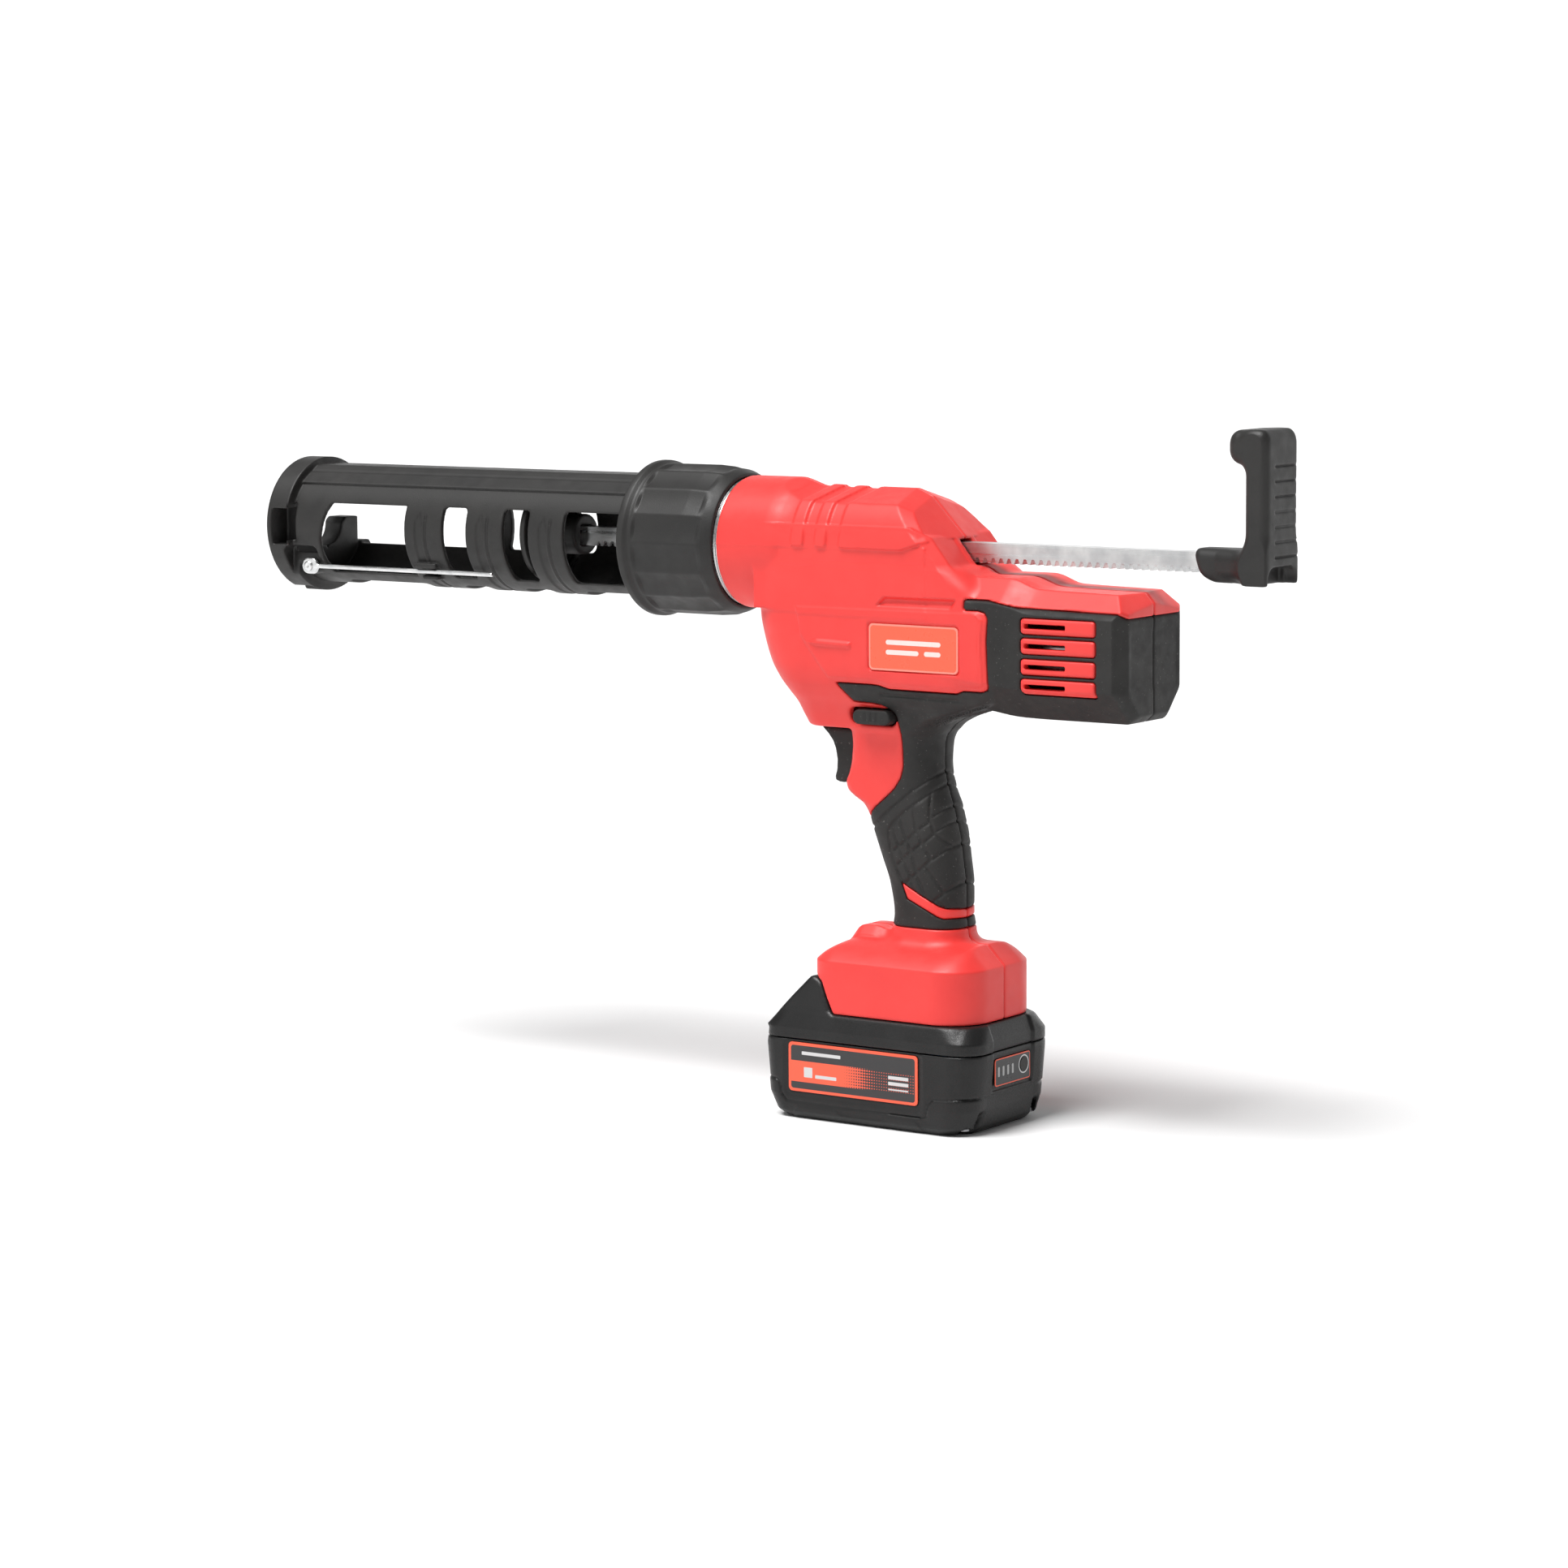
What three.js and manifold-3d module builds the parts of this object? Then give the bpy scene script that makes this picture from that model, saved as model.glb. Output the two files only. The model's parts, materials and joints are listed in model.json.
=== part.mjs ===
// Cordless caulking gun with a rack drive, a swivelling cartridge holder and a slide-on battery.
// Millimetres, +Z up. The nose points to -X, the tool's left side is -Y.
// The origin is the centre of the battery's underside, which the tool stands on.
import * as THREE from 'three';
import { mergeVertices } from 'three/addons/utils/BufferGeometryUtils.js';
import Module from 'manifold-3d';

const wasm = await Module();
wasm.setup();

// ---------- driving dimensions ----------
const GAP = 0.3;                 // clearance between touching pieces
const WALL = 2.4;                // wall of the moulded housing
const SKIN = 1.8;                // soft overmould on the housing
const AXIS_Z = 268.5;            // axis of holder, lock ring and piston
const MOTOR_Z = 223;             // axis of motor and gearbox
const NECK_R = 31.5;             // neck that the lock ring screws on to
const NECK_X = -85;              // front end of the neck
const HOLDER_R = 29.5;           // cartridge holder, outside
const HOLDER_BORE = 26.8;        // takes a 50 mm cartridge
const HOLDER_FRONT = -366;
const HOLDER_REAR = -118;
const RACK_HALF = 4;             // half the rack's width
const RACK_TOP = 272.6;
const RACK_TIP = 263.4;          // tips of the rack's teeth
const RACK_PITCH = 4.3;
const RACK_ADDENDUM = 0.95;
const RACK_DEPTH = 2.45;
const PRESSURE = THREE.MathUtils.degToRad(20);
const PINION_TEETH = 12;
const PINION_R = PINION_TEETH * RACK_PITCH / (2 * Math.PI);
const PINION_X = -20;
const PINION_Z = RACK_TIP + RACK_ADDENDUM - PINION_R;
const WHEEL_TEETH = 31;          // spur wheel on the rack pinion's shaft
const LAY_TEETH = 12;            // spur pinion on the lay shaft
const SPUR_MODULE = 1.6;
const SPUR_CENTRES = SPUR_MODULE * (WHEEL_TEETH + LAY_TEETH) / 2;
const LAY_Z = MOTOR_Z;
const LAY_X = PINION_X + Math.sqrt(SPUR_CENTRES ** 2 - (PINION_Z - LAY_Z) ** 2);
const CROWN_TEETH = 20;
const CROWN_R = 15;
const CROWN_PINION_TEETH = 7;
const CROWN_PINION_R = CROWN_R * CROWN_PINION_TEETH / CROWN_TEETH;
const PISTON_X = -212;           // front face of the piston
const RACK_REAR = 186;
const PIN_R = 1.2;               // cross pins through the rack's ends
const PIN_Z = 268.4;
const HANDLE_PIN_X = 166;
const PISTON_PIN_X = -196;
const BATTERY_HALF = 37;
const BATTERY_TOP = 51;          // shoulder that the foot sits over
const TONGUE_HALF = 24;          // slide-on tongue
const TONGUE_TOP = 60;

// ---------- materials ----------
function paint(color, roughness, metalness = 0) {
  return new THREE.MeshStandardMaterial({ color, roughness, metalness });
}
const RED = paint(0xe0242c, 0.42);
const SOFT_BLACK = paint(0x2b2a29, 0.75);
const BLACK = paint(0x222222, 0.55);
const STEEL = paint(0xc9cccf, 0.32, 1);
const DARK_STEEL = paint(0x6f7276, 0.4, 1);
const ORANGE = paint(0xff5a3c, 0.35);
const BOARD = paint(0x1d6b3a, 0.5);
const CELL = paint(0x3d6fae, 0.45);

// ---------- solids ----------
function signedVolume(p, index) {
  let sum = 0;
  const a = new THREE.Vector3();
  const b = new THREE.Vector3();
  const c = new THREE.Vector3();
  for (let i = 0; i < index.length; i += 3) {
    a.fromBufferAttribute(p, index[i]);
    b.fromBufferAttribute(p, index[i + 1]);
    c.fromBufferAttribute(p, index[i + 2]);
    sum += a.dot(b.cross(c));
  }
  return sum;
}

function solid(geometry) {
  const bare = geometry.clone();
  bare.deleteAttribute('normal');
  bare.deleteAttribute('uv');
  const merged = mergeVertices(bare, 1e-4);
  const index = Array.from(merged.index.array);
  if (signedVolume(merged.attributes.position, index) < 0) index.reverse();
  return new wasm.Manifold(new wasm.Mesh({
    numProp: 3,
    vertProperties: new Float32Array(merged.attributes.position.array),
    triVerts: new Uint32Array(index),
  }));
}

function box(x0, x1, y0, y1, z0, z1) {
  const g = new THREE.BoxGeometry(x1 - x0, y1 - y0, z1 - z0);
  return solid(g.translate((x0 + x1) / 2, (y0 + y1) / 2, (z0 + z1) / 2));
}

function rodX(r, x0, x1, y = 0, z = AXIS_Z, sides = 24, rEnd = r) {
  const g = new THREE.CylinderGeometry(rEnd, r, x1 - x0, sides);
  return solid(g.rotateZ(-Math.PI / 2).translate((x0 + x1) / 2, y, z));
}

function rodY(r, y0, y1, x, z, sides = 20) {
  const g = new THREE.CylinderGeometry(r, r, y1 - y0, sides);
  return solid(g.translate(x, (y0 + y1) / 2, z));
}

function rodZ(r, z0, z1, x, y, sides = 20) {
  const g = new THREE.CylinderGeometry(r, r, z1 - z0, sides);
  return solid(g.rotateX(Math.PI / 2).translate(x, y, (z0 + z1) / 2));
}

function shapeOf(points) {
  return new THREE.Shape(points.map(([a, b]) => new THREE.Vector2(a, b)));
}

// A side outline of [x, z] points, extruded across the tool.
function plateY(points, y0, y1) {
  const g = new THREE.ExtrudeGeometry(shapeOf(points), { depth: y1 - y0, bevelEnabled: false });
  return solid(g.rotateX(Math.PI / 2).translate(0, y1, 0));
}

// An outline of [y, z] points, extruded along the tool.
function plateX(points, x0, x1) {
  const g = new THREE.ExtrudeGeometry(shapeOf(points), { depth: x1 - x0, bevelEnabled: false });
  return solid(g.rotateX(Math.PI / 2).rotateZ(Math.PI / 2).translate(x0, 0, 0));
}

// A profile of [radius, x] points, turned about the tool's long axis.
function turnX(profile, sides = 32, z = AXIS_Z) {
  const g = new THREE.LatheGeometry(profile.map(([r, x]) => new THREE.Vector2(r, x)), sides);
  return solid(g.rotateZ(-Math.PI / 2).translate(0, 0, z));
}

// A rounded rectangle from a0 to a1 and -b to b, with radius r0 at a0 and r1 at a1.
function roundedRing(a0, a1, b, r0, r1, steps = 4) {
  const corners = [
    [a1 - r1, b - r1, r1, 0], [a0 + r0, b - r0, r0, 1],
    [a0 + r0, -b + r0, r0, 2], [a1 - r1, -b + r1, r1, 3],
  ];
  const ring = [];
  for (const [ca, cb, r, quarter] of corners) {
    for (let i = 0; i <= steps; i += 1) {
      const t = (quarter + i / steps) * Math.PI / 2;
      ring.push([ca + r * Math.cos(t), cb + r * Math.sin(t)]);
    }
  }
  return ring;
}

// Skins a stack of convex rings of [x, y, z] points and closes both ends.
function loft(rings) {
  const n = rings[0].length;
  const positions = rings.flat(2);
  const index = [];
  for (let k = 0; k + 1 < rings.length; k += 1) {
    for (let i = 0; i < n; i += 1) {
      const j = (i + 1) % n;
      const [a, b, c, d] = [k * n + i, k * n + j, (k + 1) * n + j, (k + 1) * n + i];
      index.push(a, b, c, a, c, d);
    }
  }
  for (let i = 1; i + 1 < n; i += 1) {
    index.push(0, i + 1, i);
    const last = (rings.length - 1) * n;
    index.push(last, last + i, last + i + 1);
  }
  const g = new THREE.BufferGeometry();
  g.setAttribute('position', new THREE.Float32BufferAttribute(positions, 3));
  g.setIndex(index);
  return solid(g);
}

// Level sections [z, front x, rear x, half width, front radius, rear radius], shrunk by inset.
function loftZ(sections, inset = 0, steps = 4) {
  return loft(sections.map(([z, x0, x1, half, r0, r1]) => {
    const least = 0.6;
    const ring = roundedRing(x0 + inset, x1 - inset, half - inset,
      Math.max(r0 - inset, least), Math.max(r1 - inset, least), steps);
    return ring.map(([x, y]) => [x, y, z]);
  }));
}

// Upright sections [x, low z, high z, half width, low radius, high radius], shrunk by inset.
function loftX(sections, inset = 0, steps = 4) {
  return loft(sections.map(([x, z0, z1, half, r0, r1]) => {
    const least = 0.6;
    const ring = roundedRing(z0 + inset, z1 - inset, half - inset,
      Math.max(r0 - inset, least), Math.max(r1 - inset, least), steps);
    return ring.map(([z, y]) => [x, y, z]);
  }));
}

// Moves each edge of a closed [x, z] outline outwards by d (inwards where d is negative).
function offsetOutline(points, d) {
  const turn = THREE.ShapeUtils.area(points.map(([a, b]) => new THREE.Vector2(a, b))) > 0 ? 1 : -1;
  return points.map((p, i) => {
    const before = points[(i + points.length - 1) % points.length];
    const after = points[(i + 1) % points.length];
    const e0 = new THREE.Vector2(p[0] - before[0], p[1] - before[1]).normalize();
    const e1 = new THREE.Vector2(after[0] - p[0], after[1] - p[1]).normalize();
    const n0 = new THREE.Vector2(e0.y, -e0.x).multiplyScalar(turn);
    const n1 = new THREE.Vector2(e1.y, -e1.x).multiplyScalar(turn);
    const k = d / Math.max(1 + n0.dot(n1), 0.4);
    return [p[0] + (n0.x + n1.x) * k, p[1] + (n0.y + n1.y) * k];
  });
}

function union(...solids) {
  return solids.reduce((sum, next) => sum.add(next));
}

function without(body, ...cutters) {
  return cutters.reduce((rest, cutter) => rest.subtract(cutter), body);
}

// ---------- the scene ----------
const gun = new THREE.Group();

function addPart(name, body, material) {
  const mesh = body.getMesh();
  const g = new THREE.BufferGeometry();
  g.setAttribute('position', new THREE.BufferAttribute(new Float32Array(mesh.vertProperties), 3));
  g.setIndex(new THREE.BufferAttribute(new Uint32Array(mesh.triVerts), 1));
  g.computeVertexNormals();
  const part = new THREE.Mesh(g, material);
  part.name = name;
  gun.add(part);
}

// ---------- housing: outer form ----------
const BODY_SECTIONS = [
  [92, -2.5, 35, 16, 12, 13], [97, -2, 34.2, 15.5, 12, 13], [112, -4, 34, 15.8, 12, 13],
  [124, -8, 32.5, 16.3, 13, 13], [135, -11.8, 31, 16.8, 14, 14], [144, -14.8, 28.6, 17, 14, 14],
  [150, -18.5, 27, 17, 12, 14], [153.5, -25, 26, 16.5, 9, 14], [158, -26, 24.4, 16.3, 8, 14],
  [170, -22.6, 22.4, 16.6, 8, 14], [183.6, -22.6, 24, 18, 8, 14], [185, -48, 25.5, 18.5, 13, 14],
  [190, -51, 31, 19.5, 14, 12], [195.5, -53.5, 47, 21.5, 16, 8], [201, -57, 62, 25, 18, 6],
  [207, -61, 66, 28, 20, 5], [215, -65.4, 66, 29.5, 21, 5], [237, -71.7, 66, 30.5, 22, 6],
  [250, -72, 60, 30.5, 22, 14], [258, -70, 48, 28, 22, 16],
  [268, -66, 16, 28, 20, 12],
];
const MOTOR_SECTIONS = [
  [20, 203, 258, 28, 12, 14], [50, 197, 259, 29, 16, 14], [74, 194.5, 257, 30, 18, 12],
  [84, 194.5, 254, 30, 18, 10], [120, 194.5, 253, 30, 18, 10], [129, 197, 251, 27.5, 17, 9],
  [133, 202, 246, 22, 15, 6],
];
const NECK_SECTIONS = [
  [NECK_X, AXIS_Z - NECK_R, AXIS_Z + NECK_R, NECK_R, NECK_R, NECK_R],
  [-60, AXIS_Z - NECK_R, AXIS_Z + NECK_R, NECK_R, NECK_R, NECK_R],
  [-40, 240, 297, 29.5, 27, 22], [4, 244, 296, 28, 10, 18], [14, 262, 294, 26, 6, 17],
  [25, 271, 286, 19, 3, 8], [36, 273.2, 276, 12, 1.2, 1.2],
];
const EXIT_OUTLINE = [[-10, 240], [-10, 274], [29, 274], [45, 257], [45, 240]];
const FOOT_SECTIONS = [
  [BATTERY_TOP + GAP, -19.6, 54.5, 33.5, 10, 20], [66, -26.4, 54.5, 33.5, 12, 20],
  [69.6, -34, 54.5, 33.5, 12, 20], [76, -34.4, 54.5, 33.5, 12, 20], [83, -30, 49.5, 28.5, 12, 17],
  [87, -20, 43, 22, 10, 14], [92, -5, 36.5, 16.8, 10, 13], [98, -2, 34, 15, 10, 12.5],
];
const FOOT_BUMP = [[78, -24, 8, 9, 8, 8], [88, -21, 6, 8, 8, 7.5], [92, -14, 2, 5, 4.5, 4.5]];
const EXIT_HALF = 15;            // half width of the slanted wall that the rack comes out of

// The tool's outer form, moved inwards by inset on every side and at each stack's far end.
function housingForm(inset) {
  const shorten = (sections) => sections.map((row, i) => {
    const at = [...row];
    if (i === sections.length - 1) at[0] -= inset;
    return at;
  });
  const exit = plateY(offsetOutline(EXIT_OUTLINE, -inset), -EXIT_HALF + inset, EXIT_HALF - inset);
  return union(
    loftZ(shorten(BODY_SECTIONS), inset, 2), loftX(shorten(MOTOR_SECTIONS), inset, 2),
    loftX(shorten(NECK_SECTIONS), inset, 5), exit,
    loftZ(FOOT_SECTIONS, inset, 3), loftZ(shorten(FOOT_BUMP), inset, 2),
  );
}

// ---------- housing: soft overmould ----------
const SOFT_OUTLINE = [
  [52, 249], [64, 249], [79, 246], [140, 245], [140, 185], [50, 185], [42, 170], [50, 140],
  [50, 93], [-20, 93], [-20, 137], [-9, 146], [-2, 152], [5, 159], [9, 168], [9, 188],
  [5, 195], [0, 197.5], [-14, 199.5], [-20, 207.5], [6, 207.5], [12, 205.8], [49, 205.8],
  [53, 206.8], [62, 206.8], [64.5, 209], [64.5, 241], [62, 243.5], [52, 243.5],
];
const BAND_OUTLINE = [
  [9, 113], [20, 108], [30, 103.6], [60, 106], [60, 101.6], [30, 98.2], [24, 100], [11.5, 106.5],
];
const VENT_ROWS = [238, 229, 219.5, 210.5];
const VENT = { x0: 82, x1: 120, half: 3, slotX0: 84, slotX1: 105.5, slotHalf: 0.9 };

function softRegion(grow) {
  const frames = VENT_ROWS.map((z) => box(
    VENT.x0 - grow, VENT.x1 + grow, -40, 40, z - VENT.half - grow, z + VENT.half + grow));
  const band = plateY(offsetOutline(BAND_OUTLINE, grow), -40, 40);
  return { area: plateY(offsetOutline(SOFT_OUTLINE, -grow), -40, 40), red: [band, ...frames] };
}

// ---------- housing: openings ----------
const SCREWS = [
  [-57, 226], [38, 247.5], [124, 223], [2, 152], [16, 99], [-20, 76],
];
const SCREW_HEAD_R = 3.3;
const SCREW_R = 1.5;
const BOSS_R = 4.6;              // moulded post round each screw
const BEYOND = 60;               // far enough sideways to cut right through either shell
const SCREW_HEAD_Y = 9;          // underside of each screw's head
const SCREW_TIP_Y = -9;

function screwHole([x, z]) {
  return union(
    rodY(SCREW_R + GAP, SCREW_TIP_Y - 1, 20, x, z, 8),
    rodY(SCREW_HEAD_R + GAP, SCREW_HEAD_Y - GAP, 40, x, z, 12),
  );
}

const TRIGGER_HALF = 8.5;
const TRIGGER_SLOT = { x0: -60, x1: -10.6, z0: 156.2, z1: 187 };
const BADGE = { x0: 0, x1: 49, y0: 30.2, y1: 30.9, z0: 214.2, z1: 235.8, recess: 0.4 };
const LEVER = { z0: 187.6, z1: 194.6, x0: -13.6, x1: 7, travel: 4 };   // it shifts towards -X

function housingCuts() {
  const rack = box(-120, 60, -RACK_HALF - 1, RACK_HALF + 1, RACK_TIP - 1.2, RACK_TOP + 1);
  const trigger = box(TRIGGER_SLOT.x0, TRIGGER_SLOT.x1, -TRIGGER_HALF - 0.5, TRIGGER_HALF + 0.5,
    TRIGGER_SLOT.z0, TRIGGER_SLOT.z1);
  const lever = box(LEVER.x0 - LEVER.travel - 0.6, LEVER.x1 + 0.6, -40, 40,
    LEVER.z0 - 0.5, LEVER.z1 + 0.5);
  const slots = VENT_ROWS.map((z) => box(
    VENT.slotX0, VENT.slotX1, -40, 40, z - VENT.slotHalf, z + VENT.slotHalf));
  const tongueTop = box(-45, 49.6, -TONGUE_HALF - 0.5, TONGUE_HALF + 0.5, 55.4, TONGUE_TOP + 0.6);
  const tongueNeck = box(-45, 49.6, -TONGUE_HALF + 3.5, TONGUE_HALF - 3.5, 40, 56);
  const terminals = box(6, 36, -14.5, 14.5, 56, 72);
  return [rack, trigger, lever, ...slots, tongueTop, tongueNeck, terminals];
}

const DECK_TOP = 63;              // solid floor of the foot, above the battery's tongue

function housing() {
  const outer = housingForm(0);
  const under = housingForm(SKIN + GAP);
  const inner = housingForm(SKIN + GAP + WALL);
  const deck = box(-BEYOND, BEYOND, -40, 40, 50, DECK_TOP);
  const neckBore = rodX(NECK_R - WALL - SKIN, NECK_X - 5, -58, 0, AXIS_Z, 28);
  const bosses = SCREWS.map(([x, z]) => rodY(BOSS_R, -38, 38, x, z, 10).intersect(under));
  const exact = softRegion(0);
  const wide = softRegion(GAP);
  const soft = without(exact.area, ...wide.red);
  const softWide = without(softRegion(-GAP).area, ...exact.red);
  const cavity = without(inner, deck);
  let red = union(without(outer, softWide), under);
  red = union(without(red, cavity, neckBore), ...bosses);
  red = without(red, ...housingCuts(), ...SCREWS.map(screwHole));
  let skin = without(outer.intersect(soft), housingForm(SKIN));
  skin = without(skin, ...housingCuts(), ...SCREWS.map(screwHole));
  const left = box(-200, 200, -BEYOND, -GAP / 2, 40, 340);
  const right = box(-200, 200, GAP / 2, BEYOND, 40, 340);
  const { x0, x1, y0, y1, z0, z1, recess } = BADGE;
  const dish = (near, far) => box(x0 - recess, x1 + recess, near, far, z0 - recess, z1 + recess);
  addPart('housing_left', without(red.intersect(left), dish(-BEYOND, GAP - y0)), RED);
  addPart('housing_right', without(red.intersect(right), dish(y0 - GAP, BEYOND)), RED);
  addPart('overmould_left', skin.intersect(left), SOFT_BLACK);
  addPart('overmould_right', skin.intersect(right), SOFT_BLACK);
  addPart('side_badge_left', box(x0, x1, -y1, -y0, z0, z1), ORANGE);
  addPart('side_badge_right', box(x0, x1, y0, y1, z0, z1), ORANGE);
}

function housingScrews() {
  SCREWS.forEach(([x, z], i) => {
    const head = rodY(SCREW_HEAD_R, SCREW_HEAD_Y, SCREW_HEAD_Y + 2.6, x, z, 12);
    const socket = rodY(1.4, SCREW_HEAD_Y + 1, SCREW_HEAD_Y + 4, x, z, 6);
    const shank = rodY(SCREW_R, SCREW_TIP_Y, SCREW_HEAD_Y + 0.5, x, z, 8);
    addPart(`housing_screw_${i + 1}`, without(union(head, shank), socket), DARK_STEEL);
  });
}

// ---------- nose: threaded ring, lock ring, cartridge holder, needle ----------
const LOCK = { front: -142, rear: -88.6, lipR: 37.6, bodyR: 36, flutes: 16 };

const THREAD = { front: -100, outside: 30.4, bore: 27 };

function threadedRing() {
  const rear = NECK_X - GAP;
  addPart('threaded_ring', turnX([
    [THREAD.bore, THREAD.front], [THREAD.outside, THREAD.front], [THREAD.outside, rear],
    [THREAD.bore, rear], [THREAD.bore, THREAD.front],
  ], 28), STEEL);
}

function lockRing() {
  const body = turnX([
    [30.1, LOCK.front], [36, LOCK.front], [LOCK.lipR, -140], [LOCK.lipR, -137.4], [LOCK.bodyR, -135],
    [LOCK.bodyR - 0.8, -95], [32.4, LOCK.rear], [30.9, LOCK.rear], [30.9, -108], [30.1, -108],
    [30.1, LOCK.front],
  ], 32);
  const scallops = [];
  for (let i = 0; i < LOCK.flutes; i += 1) {
    const t = (i / LOCK.flutes) * 2 * Math.PI;
    const reach = LOCK.bodyR + 24;
    scallops.push(rodX(24.9, -133.5, -96, reach * Math.cos(t), AXIS_Z + reach * Math.sin(t), 20));
  }
  addPart('lock_ring', without(body, ...scallops), BLACK);
}

const HOLDER_RIBS = [[-279, -255], [-240, -217], [-201, -179.5]];
const WINDOW = { front: -330, rear: -143, z0: 246, z1: 279.5, underHalf: 11 };
const FAR_WINDOW = { front: -353.5, z0: 257 };   // the right side's windows start higher up
// Side slot of the nozzle hole in the front plate, as [y, z] points.
const NOZZLE_SLOT = [
  [0, 258], [6, 263.8], [14.5, 271], [24, 271], [24, 258.5], [40, 258.5], [40, 278], [25, 279.5],
  [14, 283], [0, 283],
];
const RAIL = { half: 9, rise: 30.6 };        // flat rail along the holder's top
const NEEDLE = { x: -344, y: -25.2, z: 248.8, tip: -226 };

function cartridgeHolder() {
  const tube = turnX([
    [HOLDER_BORE, HOLDER_REAR], [HOLDER_BORE, -354], [16, -354], [16, -362], [17, HOLDER_FRONT],
    [31, HOLDER_FRONT], [34, -364], [34, -353.5], [32.5, -352], [HOLDER_R, -350],
    [HOLDER_R, HOLDER_REAR], [HOLDER_BORE, HOLDER_REAR],
  ], 28);
  const spans = [];
  const edges = [WINDOW.front, ...HOLDER_RIBS.flat(), WINDOW.rear];
  for (let i = 0; i < edges.length; i += 2) spans.push([edges[i], edges[i + 1]]);
  const windows = spans.map(([x0, x1]) => box(x0, x1, -BEYOND, 0, WINDOW.z0, WINDOW.z1));
  const farWindows = spans.map(([x0, x1], i) => box(
    i === 0 ? FAR_WINDOW.front : x0, x1, 0, BEYOND, FAR_WINDOW.z0, WINDOW.z1));
  const underside = spans.map(([x0, x1]) => box(
    x0, x1, -WINDOW.underHalf, WINDOW.underHalf, 225, 250));
  const railTop = box(-352, WINDOW.rear, -RAIL.half, RAIL.half, AXIS_Z + 28, AXIS_Z + RAIL.rise);
  const notch = box(-370, -352.6, -40, -29, 259, 278);
  const slot = plateX(NOZZLE_SLOT, -370, -353.5);
  const flat = box(-356, -338, -40, NEEDLE.y + 1.4, 238, 259);
  const boss = rodY(4.2, NEEDLE.y + 1.4, -18, NEEDLE.x, NEEDLE.z, 14);
  const open = without(
    union(tube, railTop), ...windows, ...farWindows, ...underside, slot, notch, flat);
  addPart('cartridge_holder', union(open, without(boss, rodX(HOLDER_BORE, -360, -330))), BLACK);
}

function needle() {
  const head = rodY(3.6, NEEDLE.y - 1.2, NEEDLE.y + 1, NEEDLE.x, NEEDLE.z, 16);
  const wire = rodX(1.05, NEEDLE.x + 2, NEEDLE.tip, NEEDLE.y - 0.1, NEEDLE.z, 10);
  const eye = rodY(1.6, NEEDLE.y - 3, NEEDLE.y + 3, NEEDLE.x, NEEDLE.z, 12);
  addPart('seal_needle', without(union(head, wire), eye), STEEL);
  const rivetHead = rodY(2.6, NEEDLE.y - 2.4, NEEDLE.y - 1.5, NEEDLE.x, NEEDLE.z, 14);
  const rivet = rodY(1.4, NEEDLE.y - 2, NEEDLE.y + 1.2, NEEDLE.x, NEEDLE.z, 12);
  addPart('needle_rivet', union(rivetHead, rivet), STEEL);
}

// ---------- rack, pull handle, piston ----------
function rack() {
  const root = RACK_TIP + RACK_DEPTH;
  const pitchZ = RACK_TIP + RACK_ADDENDUM;
  const slope = Math.tan(PRESSURE);
  const play = 0.12;
  const tipHalf = RACK_PITCH / 4 - play - RACK_ADDENDUM * slope;
  const rootHalf = RACK_PITCH / 4 - play + (root - pitchZ) * slope;
  const outline = [[-205, RACK_TOP], [-205, RACK_TIP]];
  const first = Math.ceil((-178 - PINION_X) / RACK_PITCH);
  const last = Math.floor((172 - PINION_X) / RACK_PITCH);
  outline.push([PINION_X + first * RACK_PITCH - RACK_PITCH / 2 - 1, RACK_TIP]);
  for (let k = first; k <= last; k += 1) {
    const x = PINION_X + k * RACK_PITCH;
    outline.push([x - rootHalf, root], [x - tipHalf, RACK_TIP]);
    outline.push([x + tipHalf, RACK_TIP], [x + rootHalf, root]);
  }
  outline.push([PINION_X + (last + 0.5) * RACK_PITCH + 1, RACK_TIP]);
  outline.push([RACK_REAR, RACK_TIP], [RACK_REAR, RACK_TOP]);
  const holes = [HANDLE_PIN_X, PISTON_PIN_X].map((x) => rodY(PIN_R + GAP, -20, 20, x, PIN_Z, 8));
  addPart('rack', without(plateY(outline, -RACK_HALF, RACK_HALF), ...holes), STEEL);
}

function pullHandle() {
  const arm = loftX([
    [158, 261.4, 275.5, 6.6, 4, 5], [160, 260.4, 276.4, 8, 5, 6], [178, 260.4, 277, 8.2, 5, 6],
    [190, 260.4, 279, 9.5, 5, 6],
  ], 0, 3);
  const grip = loftZ([
    [258.5, 190, 198, 13, 3, 3], [262, 188, 199.5, 15, 4, 4], [272, 187.4, 199.5, 15, 4, 4],
    [322, 187.4, 199.5, 15, 4, 4], [328, 189, 198, 13.4, 4, 4],
  ], 0, 3);
  const web = plateY([[175, 264], [175, 276], [182, 280], [186, 286], [192, 286], [192, 264]], -8, 8);
  const hook = loftX([
    [178.2, 315, 326, 12, 4, 4], [180.6, 313, 328, 14.6, 5, 5], [193, 313, 328, 14.6, 5, 5],
  ], 0, 3);
  const bore = box(150, RACK_REAR + GAP, -RACK_HALF - GAP, RACK_HALF + GAP,
    RACK_TIP - GAP, RACK_TOP + GAP);
  const hollow = box(191, 196.4, -11.5, 11.5, 250, 259.8);
  const grooves = [];
  for (let i = 0; i < 7; i += 1) {
    const z = 271.5 + i * 6.7;
    grooves.push(box(198.3, 205, -16, 16, z - 0.95, z + 0.95));
  }
  const pinHole = rodY(PIN_R + GAP, -20, 20, HANDLE_PIN_X, PIN_Z, 8);
  addPart('pull_handle', without(union(arm, grip, web, hook), bore, hollow, pinHole, ...grooves), BLACK);
  addPart('handle_pin', rodY(PIN_R, -7.6, 7.6, HANDLE_PIN_X, PIN_Z, 10), STEEL);
}

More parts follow.
